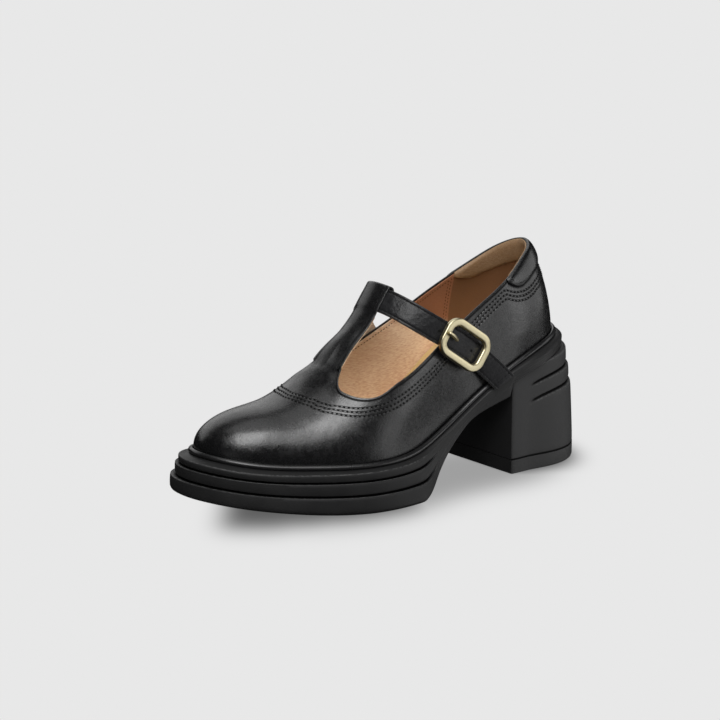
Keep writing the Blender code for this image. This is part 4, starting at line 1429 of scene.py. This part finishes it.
def make_stitches(rows, tree, lines, thread_material):
    """The stitches of some rows, along lines of points in metres; each line is (points, closed)."""
    name = rows + "_stitches"
    step, length, width = STITCHES[rows]
    points = []
    edges = []
    for line, closed in lines:
        first = len(points)
        points += np.asarray(line).tolist()
        edges += [(k, k + 1) for k in range(first, len(points) - 1)]
        if closed:
            edges.append((len(points) - 1, first))
    mesh = bpy.data.meshes.new(name)
    mesh.from_pydata(points, edges, [])
    piece = bpy.data.objects.new(name, mesh)
    bpy.context.scene.collection.objects.link(piece)
    sewing = piece.modifiers.new("stitches", "NODES")
    sewing.node_group = tree
    wanted = {"Step": step * MM, "Length": length * MM, "Width": width * MM,
              "Unevenness": STITCH_UNEVENNESS, "Thread": thread_material}
    for item in tree.interface.items_tree:
        if item.item_type == "SOCKET" and item.in_out == "INPUT" and item.name in wanted:
            sewing[item.identifier] = wanted[item.name]
    apply_modifiers(piece)
    piece.data.shade_smooth()
    return piece


def seam_lines(wall):
    """The three stitch rows round the upper, as closed lines."""
    middle = table_at(SEAM_DEPTH, RING_PLACES)
    lines = []
    for row in (-1, 0, 1):
        depths = (middle + row * SEAM_ROW_SPACING)[:, None]
        line = [wall.at(k, depth, 0.0)[0] for k, depth in enumerate(depths)]
        lines.append((line, True))
    return lines


def lining_lines(wall):
    """Stitch lines inside: below the topline on both sides, and two rows down each side seam."""
    skin = -(LINING_OFFSET + LINING_THICKNESS)
    first, last = (int(place * SIDE_STEPS) for place in LINING_STITCH_PLACES)
    topline_depth = np.array([LINING_STITCH_DEPTH])
    seam_depths = np.linspace(*LINING_SEAM_DEPTHS, LINING_SEAM_POINTS)
    lines = []
    for side in (1, -1):
        along = [wall.at(side * k, topline_depth, skin)[0] for k in range(first, last)]
        lines.append((along, False))
        columns = [wall.at(side * k, seam_depths, skin) for k in range(*LINING_SEAM_COLUMNS)]
        for ahead in LINING_SEAM_STITCHES:
            level = (MIDDLE_STATION - LINING_SEAM - ahead) * MM
            run = [crossing(row, level) for row in np.swapaxes(np.array(columns), 0, 1)]
            lines.append((run, False))
    return lines


def crossing(row, level):
    """The point where a row of points, which runs towards the toe, crosses a level of y."""
    return [np.interp(-level, -row[:, 1], row[:, k]) for k in range(3)]


def strap_lines():
    """Stitch lines along both edges of the strap and across its free end."""
    share = np.linspace(*STRAP_STITCH_SHARES, STRAP_STEPS)
    face = STRAP_THICKNESS / 2
    lines = [(strap_surface(share, side * STRAP_STITCH_LINE, face - STRAP_STITCH_SINK), False)
             for side in (-1, 1)]
    ends = [strap_surface(share, side, face - STRAP_END_STITCH_SINK)[-1]
            for side in np.linspace(-STRAP_STITCH_LINE, STRAP_STITCH_LINE, STRAP_END_STITCH_POINTS)]
    return lines + [(ends, False)]


# Materials


def shader_of(material):
    return material.node_tree.nodes["Principled BSDF"]


def new_material(name, **constants):
    """A material whose shader has some sockets set; a name's underscores stand for spaces."""
    material = bpy.data.materials.new(name)
    material.use_nodes = True
    for socket, value in constants.items():
        shader_of(material).inputs[socket.replace("_", " ")].default_value = value
    return material


def add_node(material, kind, values=None, **settings):
    """A node with its inputs' values and its own settings."""
    node = material.node_tree.nodes.new(kind)
    for key, value in settings.items():
        setattr(node, key, value)
    for key, value in (values or {}).items():
        node.inputs[key].default_value = value
    return node


def connect(material, source, target):
    material.node_tree.links.new(source, target)


def object_noise(material, scale, detail=3.0, stretch=(1.0, 1.0, 1.0)):
    """Noise over the shoe's own coordinates; scale is in features per metre."""
    place = add_node(material, "ShaderNodeTexCoord")
    mapping = add_node(material, "ShaderNodeMapping", {"Scale": stretch})
    values = {"Scale": scale, "Detail": detail, "Roughness": NOISE_ROUGHNESS}
    noise = add_node(material, "ShaderNodeTexNoise", values)
    connect(material, place.outputs["Object"], mapping.inputs["Vector"])
    connect(material, mapping.outputs["Vector"], noise.inputs["Vector"])
    return noise.outputs["Fac"]


def remap(material, source, given, wanted=(0.0, 1.0), kind="SMOOTHSTEP"):
    """The source's given range as the wanted one, held at both ends."""
    values = {"From Min": given[0], "From Max": given[1], "To Min": wanted[0], "To Max": wanted[1]}
    node = add_node(material, "ShaderNodeMapRange", values, interpolation_type=kind)
    connect(material, source, node.inputs["Value"])
    return node.outputs["Result"]


def math_node(material, operation, first, second=0.0):
    """One step of arithmetic on sockets or numbers."""
    node = add_node(material, "ShaderNodeMath", operation=operation)
    for socket, value in zip(node.inputs, (first, second)):
        if isinstance(value, (int, float)):
            socket.default_value = value
        else:
            connect(material, value, socket)
    return node.outputs[0]


def attribute(material, name):
    """A value that the mesh has at its points."""
    return add_node(material, "ShaderNodeAttribute", attribute_name=name).outputs["Fac"]


def bump(material, height, distance, below=None):
    """A bump over the one below it; distance is in metres."""
    node = add_node(material, "ShaderNodeBump", {"Distance": distance, "Strength": 1.0})
    connect(material, height, node.inputs["Height"])
    if below is not None:
        connect(material, below, node.inputs["Normal"])
    return node.outputs["Normal"]


def tinted(colour, factor):
    """The colour made lighter or darker by a factor."""
    return tuple(part * factor for part in colour)


def blend_colours(material, factor, first, second):
    """From the first colour to the second as the factor goes from 0 to 1; each is a tuple or a socket."""
    node = add_node(material, "ShaderNodeMix", data_type="RGBA")
    connect(material, factor, node.inputs["Factor"])
    for socket, value in (("A", first), ("B", second)):
        target = [entry for entry in node.inputs if entry.name == socket and entry.type == "RGBA"][0]
        if isinstance(value, tuple):
            target.default_value = (*value, 1.0)
        else:
            connect(material, value, target)
    return [out for out in node.outputs if out.type == "RGBA"][0]


def take_shine(material, share):
    """Leaves a leather only a share of its shine, place by place."""
    for socket in ("Specular IOR Level", "Coat Weight"):
        target = shader_of(material).inputs[socket]
        connect(material, math_node(material, "MULTIPLY", share, target.default_value), target)


def black_leather(name, shine, coat, waves, wave_bump, lift=1.0, seamed=False):
    """Smooth black leather with fine grain and soft waves; a seamed piece has sunk rows and painted edge
    shade.
    """
    material = new_material(name, Coat_Weight=coat, Coat_Roughness=0.16, Specular_IOR_Level=shine)
    shader = shader_of(material)
    clouds = object_noise(material, LEATHER_CLOUDS, detail=4.0)
    colour = blend_colours(material, clouds, *(tinted(black, lift) for black in LEATHER_BLACKS))
    grain = object_noise(material, LEATHER_GRAIN, detail=2.0)
    pores = object_noise(material, LEATHER_PORES)
    normal = bump(material, object_noise(material, waves, detail=2.5), wave_bump)
    normal = bump(material, pores, LEATHER_PORE_BUMP, normal)
    normal = bump(material, grain, LEATHER_GRAIN_BUMP, normal)
    if seamed:
        normal = sew_and_edge(material, normal)
    roughness = remap(material, pores, NOISE_BODY, LEATHER_ROUGHNESS, kind="LINEAR")
    connect(material, colour, shader.inputs["Base Color"])
    connect(material, roughness, shader.inputs["Roughness"])
    connect(material, normal, shader.inputs["Normal"])
    return material


def sew_and_edge(material, normal):
    """Sinks the seam's rows and the edge line; painted shade takes the shine off that line and below the pad.
    """
    seam = attribute(material, "seam")
    beside_row = math_node(material, "PINGPONG", seam, SEAM_ROW_SPACING / 2)
    groove = remap(material, beside_row, SEAM_GROOVE)
    outside = remap(material, math_node(material, "ABSOLUTE", seam), SEAM_BAND)
    groove = math_node(material, "MAXIMUM", groove, outside)
    past_line = math_node(material, "SUBTRACT", attribute(material, "depth"), EDGE_LINE)
    beside_line = math_node(material, "ABSOLUTE", past_line)
    fold = remap(material, beside_line, EDGE_FOLD)
    edge_share = remap(material, beside_line, EDGE_SHADE, (EDGE_SHINE, 1.0))
    pad_share = remap(material, attribute(material, "below_pad"), PAD_SHADE, (PAD_SHADE_SHINE, 1.0))
    take_shine(material, math_node(material, "MULTIPLY", edge_share, pad_share))
    return bump(material, math_node(material, "MULTIPLY", groove, fold), SEAM_GROOVE_BUMP, normal)


def black_rubber(name, base, roughness, shine, marked=False):
    """Black rubber or paint; a marked piece has worn lips, and painted shade in its grooves and seams."""
    material = new_material(name, Specular_IOR_Level=shine)
    shader = shader_of(material)
    clouds = object_noise(material, RUBBER_CLOUDS, detail=4.0)
    colour = blend_colours(material, clouds, *(tinted(base, factor) for factor in RUBBER_TINTS))
    if marked:
        specks = remap(material, object_noise(material, RUBBER_SPECKS, detail=2.0), NOISE_CORE)
        lip = remap(material, attribute(material, "lip"), LIP_WEAR)
        colour = blend_colours(material, math_node(material, "MULTIPLY", lip, specks), colour, WORN_LIP)
        # Painted shade: grooves and seams darken towards near black and lose their shine
        light = remap(material, attribute(material, "painted_shade"), GROOVE_SHADE, (1.0, GROOVE_LIGHT))
        colour = blend_colours(material, light, GROOVE_SHADE_COLOUR, colour)
        left = math_node(material, "MULTIPLY", light, shine)
        connect(material, left, shader.inputs["Specular IOR Level"])
    roughness = remap(material, clouds, NOISE_BODY, roughness, kind="LINEAR")
    skin = object_noise(material, RUBBER_SKIN)
    connect(material, colour, shader.inputs["Base Color"])
    connect(material, roughness, shader.inputs["Roughness"])
    connect(material, bump(material, skin, RUBBER_SKIN_BUMP), shader.inputs["Normal"])
    return material


def tan_leather(name, light, dark, streaks, quarter=None, rear=None):
    """Lining leather, finely streaked along the foot; may have painted shade high up, darker behind its seam.
    """
    material = new_material(name, Specular_IOR_Level=0.3)
    shader = shader_of(material)
    streak = object_noise(material, LINING_STREAKS, detail=2.0, stretch=LINING_STREAK_STRETCH)
    clouds = object_noise(material, LINING_CLOUDS)
    mixed = math_node(material, "ADD", math_node(material, "MULTIPLY", streak, streaks),
                      math_node(material, "MULTIPLY", clouds, 1.0 - streaks))
    colour = blend_colours(material, remap(material, mixed, NOISE_CORE), dark, light)
    if rear:
        # Painted shade: high up the lining goes to the quarter tone; behind the seam it takes the rear tone
        where = add_node(material, "ShaderNodeTexCoord")
        parts = add_node(material, "ShaderNodeSeparateXYZ")
        connect(material, where.outputs["Object"], parts.inputs["Vector"])
        leaning = math_node(material, "MULTIPLY", parts.outputs["Y"], LINING_SHADE_SLOPE)
        leaning = math_node(material, "ADD", leaning, parts.outputs["Z"])
        high = [height * MM for height in LINING_SHADE_HEIGHTS]
        back = [(MIDDLE_STATION - station) * MM for station in (LINING_SEAM, LINING_SEAM - LINING_SEAM_BLUR)]
        for tone, where_dark, limits in ((quarter, leaning, high), (rear, parts.outputs["Y"], back)):
            tone = blend_colours(material, clouds, *(tinted(tone, factor) for factor in LINING_TINTS))
            colour = blend_colours(material, remap(material, where_dark, limits), colour, tone)
    roughness = remap(material, clouds, NOISE_BODY, LINING_ROUGHNESS, kind="LINEAR")
    connect(material, colour, shader.inputs["Base Color"])
    connect(material, roughness, shader.inputs["Roughness"])
    connect(material, bump(material, streak, LINING_STREAK_BUMP), shader.inputs["Normal"])
    return material


def pale_gold():
    """Satin metal with faint brush marks."""
    material = new_material("pale_gold", Metallic=1.0)
    shader = shader_of(material)
    brushed = object_noise(material, GOLD_BRUSH, stretch=GOLD_BRUSH_STRETCH)
    clouds = object_noise(material, GOLD_CLOUDS, detail=2.0)
    roughness = remap(material, brushed, NOISE_BODY, GOLD_ROUGHNESS, kind="LINEAR")
    connect(material, blend_colours(material, clouds, *GOLD_TONES), shader.inputs["Base Color"])
    connect(material, roughness, shader.inputs["Roughness"])
    connect(material, bump(material, brushed, GOLD_BRUSH_BUMP), shader.inputs["Normal"])
    return material


def thread(name, colour):
    """Dull twisted thread."""
    material = new_material(name, Roughness=0.75, Specular_IOR_Level=0.15)
    shader = shader_of(material)
    twist = object_noise(material, THREAD_TWIST, detail=2.0)
    colour = blend_colours(material, twist, tinted(colour, THREAD_DARK), colour)
    connect(material, colour, shader.inputs["Base Color"])
    connect(material, bump(material, twist, THREAD_TWIST_BUMP), shader.inputs["Normal"])
    return material


# Stage: floor, camera and soft studio light


def inside(points, outline):
    """Which points of a plane lie inside a closed outline."""
    hits = np.zeros(len(points), bool)
    for first, second in zip(outline, np.roll(outline, -1, axis=0)):
        crosses = (first[1] > points[:, 1]) != (second[1] > points[:, 1])
        rise = second[1] - first[1]
        at = first[0] + (points[:, 1] - first[1]) / (rise if rise else 1.0) * (second[0] - first[0])
        hits ^= crosses & (points[:, 0] < at)
    return hits


def blurred(mask, softness):
    """The mask softened along both its axes."""
    for axis, (step, blur) in enumerate(zip(SHADOW_STEP, softness)):
        half = int(SHADOW_BELL * blur / step)
        reach = np.arange(-half, half + 1) * step
        bell = np.exp(-(reach / blur) ** 2 / 2)
        mask = np.apply_along_axis(np.convolve, axis, mask, bell / bell.sum(), "same")
    return mask


def shadow_outlines(right):
    """Outlines on the floor of what stands on it or over it."""
    station = RING[:, 1]
    sole = to_frame(raised(RING + RING_NORMALS * (SOLE_SIDE[-1][2] * OFFSET_AT_BALL), 0.0))[:, :2]
    return {
        "tread": sole[(station > SHADOW_TREAD_START) & (sole @ right > SHADOW_TREAD_LEFT)],
        "heel": to_frame(raised(heel_ring(HEEL_SIDE[-1][3]), 0.0))[:, :2],
        "waist": sole[station < SHADOW_WAIST_END],
    }


def pale_floor():
    """An even glow, which the floor's shade takes away."""
    material = bpy.data.materials.new("pale_floor")
    material.use_nodes = True
    nodes = material.node_tree.nodes
    nodes.remove(shader_of(material))
    light = remap(material, attribute(material, "shade"), (0.0, 1.0), (FLOOR_GLOW, 0.0), kind="LINEAR")
    glow = add_node(material, "ShaderNodeEmission", {"Color": WHITE})
    connect(material, light, glow.inputs["Strength"])
    connect(material, glow.outputs["Emission"], nodes["Material Output"].inputs["Surface"])
    return material


def make_floor():
    """A plain pale floor with a soft shadow under the shoe and towards the camera."""
    near = np.array(Vector(CAMERA_BACK[:2]).normalized())
    right = np.array([-near[1], near[0]])
    lines = [np.arange(-SHADOW_REACH, SHADOW_REACH, step) for step in SHADOW_STEP]
    spots = (lines[0][:, None, None] * right + lines[1][None, :, None] * near).reshape(-1, 2)
    outlines = shadow_outlines(right)
    shade = np.zeros((len(lines[0]), len(lines[1])))
    for name, shift, softness, strength in SHADOWS:
        moved = spots - right * shift[0] - near * shift[1]
        mask = inside(moved, outlines[name]).reshape(shade.shape).astype(float)
        shade = np.maximum(shade, blurred(mask, softness) * strength)
    shade = np.pad(shade, 1)
    lines = [np.concatenate([[-FLOOR_HALF], line, [FLOOR_HALF]]) for line in lines]
    plan = lines[0][:, None, None] * right + lines[1][None, :, None] * near
    points = np.concatenate([plan, np.zeros((*plan.shape[:2], 1))], axis=2)
    faces = faces_between(numbered(shade), closed=False)
    attributes = {"shade": shade.ravel()}
    floor = make_piece("floor", points.reshape(-1, 3), faces, [pale_floor()], attributes, turn_out=False)
    floor.visible_glossy = False
    floor.visible_shadow = False


def aimed(name, data, place, back):
    """A camera or a light at a place, looking against the direction back."""
    thing = bpy.data.objects.new(name, data)
    thing.location = place
    thing.rotation_mode = "QUATERNION"
    thing.rotation_quaternion = (-Vector(back)).to_track_quat("-Z", "Y")
    bpy.context.scene.collection.objects.link(thing)
    return thing


def make_camera():
    """The camera at the photograph's viewing angle."""
    data = bpy.data.cameras.new("camera")
    data.lens = CAMERA_LENS
    data.sensor_width = CAMERA_SENSOR
    data.clip_start, data.clip_end = CAMERA_CLIP
    bpy.context.scene.camera = aimed("camera", data, CAMERA_EYE, CAMERA_BACK)


def make_lights():
    """Soft boxes round the shoe, as bright as they look from it."""
    for name, azimuth, elevation, distance, width, height, brightness in LIGHTS:
        turn = math.radians(azimuth)
        lift = math.radians(elevation)
        level = math.cos(lift)
        towards = Vector((math.sin(turn) * level, -math.cos(turn) * level, math.sin(lift)))
        data = bpy.data.lights.new(name, "AREA")
        data.shape = "RECTANGLE"
        data.size = width
        data.size_y = height
        data.energy = brightness * math.pi * width * height
        light = aimed(name, data, Vector(LIGHT_AIM) + towards * distance, towards)
        light.visible_camera = False
    world = bpy.data.worlds.new("studio")
    world.use_nodes = True
    background = world.node_tree.nodes["Background"]
    background.inputs["Color"].default_value = WHITE
    background.inputs["Strength"].default_value = WORLD_LIGHT
    bpy.context.scene.world = world
    bpy.context.scene.view_settings.view_transform = "Standard"


def attach(piece, replaces=None):
    """Puts a piece under the root body, and hides the imported part that it replaces."""
    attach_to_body(piece, "root")
    if replaces:
        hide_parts(replaces)


def main():
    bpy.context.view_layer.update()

    seamed_leather = black_leather("seamed_black_leather", shine=0.55, coat=0.2, waves=36.0,
                                   wave_bump=0.0011, seamed=True)
    pad_leather = black_leather("pad_black_leather", shine=0.6, coat=0.25, waves=60.0, wave_bump=0.0005)
    # Painted shade: the pad loses its shine along its low crease
    take_shine(pad_leather, remap(pad_leather, attribute(pad_leather, "low"), PAD_CREASE_SHADE,
                                  (1.0, PAD_CREASE_SHINE)))
    strap_leather = black_leather("strap_black_leather", shine=0.19, coat=0.03, waves=130.0,
                                  wave_bump=0.0006, lift=3.0)
    sole_rubber = black_rubber("sole_rubber", (0.010, 0.010, 0.0102), roughness=(0.44, 0.56), shine=0.3,
                               marked=True)
    heel_rubber = black_rubber("heel_rubber", (0.023, 0.023, 0.0233), roughness=(0.5, 0.62), shine=0.3,
                               marked=True)
    # Painted shade: a darker, duller copy of the heel rubber for the heel's front
    shaded_breast_rubber = black_rubber("heel_breast_shade_rubber", (0.009, 0.009, 0.0092), roughness=(0.7, 0.8),
                                 shine=0.12)
    welt_rubber = black_rubber("welt_rubber", (0.008, 0.008, 0.0083), roughness=(0.24, 0.34), shine=0.5)
    edge_paint = black_rubber("edge_paint", (0.012, 0.0125, 0.0122), roughness=(0.3, 0.4), shine=0.3)
    strap_edge = black_rubber("strap_edge_paint", (0.03, 0.03, 0.03), roughness=(0.3, 0.4), shine=0.5)
    # The lining's quarter tone is painted shade high up inside the shoe
    lining = tan_leather("tan_lining", light=(0.97, 0.76, 0.55), dark=(0.76, 0.495, 0.31), streaks=0.6,
                         quarter=(0.27, 0.112, 0.055), rear=(0.155, 0.072, 0.031))
    bed = tan_leather("footbed_tan", light=(0.66, 0.48, 0.23), dark=(0.56, 0.39, 0.18), streaks=0.4)
    beige = tan_leather("collar_beige", light=(0.36, 0.235, 0.135), dark=(0.24, 0.145, 0.075), streaks=0.5)
    gold = pale_gold()
    black_thread = thread("black_thread", (0.004, 0.004, 0.004))
    tan_thread = thread("tan_thread", (0.11, 0.05, 0.02))
    # Painted shade: the holes' lenses are near black in place of open holes
    hole_shade = thread("hole_shade", (0.002, 0.002, 0.002))

    attach(make_outsole(sole_rubber), "outsole")
    attach(make_welt(welt_rubber), "welt")
    attach(make_heel([heel_rubber, shaded_breast_rubber]), "heel")
    attach(make_heel_tip([heel_rubber, shaded_breast_rubber]), "heel_tip")
    attach(make_insole(bed), "insole")

    wall = Wall(0.0, BAR_ROWS + BAR_FOLD_STEPS + BAR_FOLD_ROWS)
    attach(make_upper(wall, [seamed_leather, edge_paint]), "upper")
    lining_wall = Wall(LINING_BELOW_EDGE, int(BAR_ROWS * LINING_UP_THE_BAR))
    attach(make_lining(lining_wall, lining))
    pad = make_collar_pad("collar_panel", wall, PAD_EDGE, PAD_PUFF, 1.0, 0.0, pad_leather)
    attach(pad)
    grip = make_collar_pad("collar_lining", wall, GRIP_EDGE, GRIP_PUFF, -1.0, UPPER_WALL, beige)
    attach(grip)

    attach(make_strap([strap_leather, lining, strap_edge]), "strap")
    attach(make_strap_holes(hole_shade))
    place = buckle_axes()
    attach(make_buckle_frame(place, gold), "buckle_frame")
    attach(make_buckle_prong(place, gold), "buckle_prong")

    tree = stitch_tree()
    attach(make_stitches("seam", tree, seam_lines(wall), black_thread))
    attach(make_stitches("strap", tree, strap_lines(), black_thread))
    attach(make_stitches("lining", tree, lining_lines(wall), tan_thread))

    make_floor()
    make_camera()
    make_lights()


main()
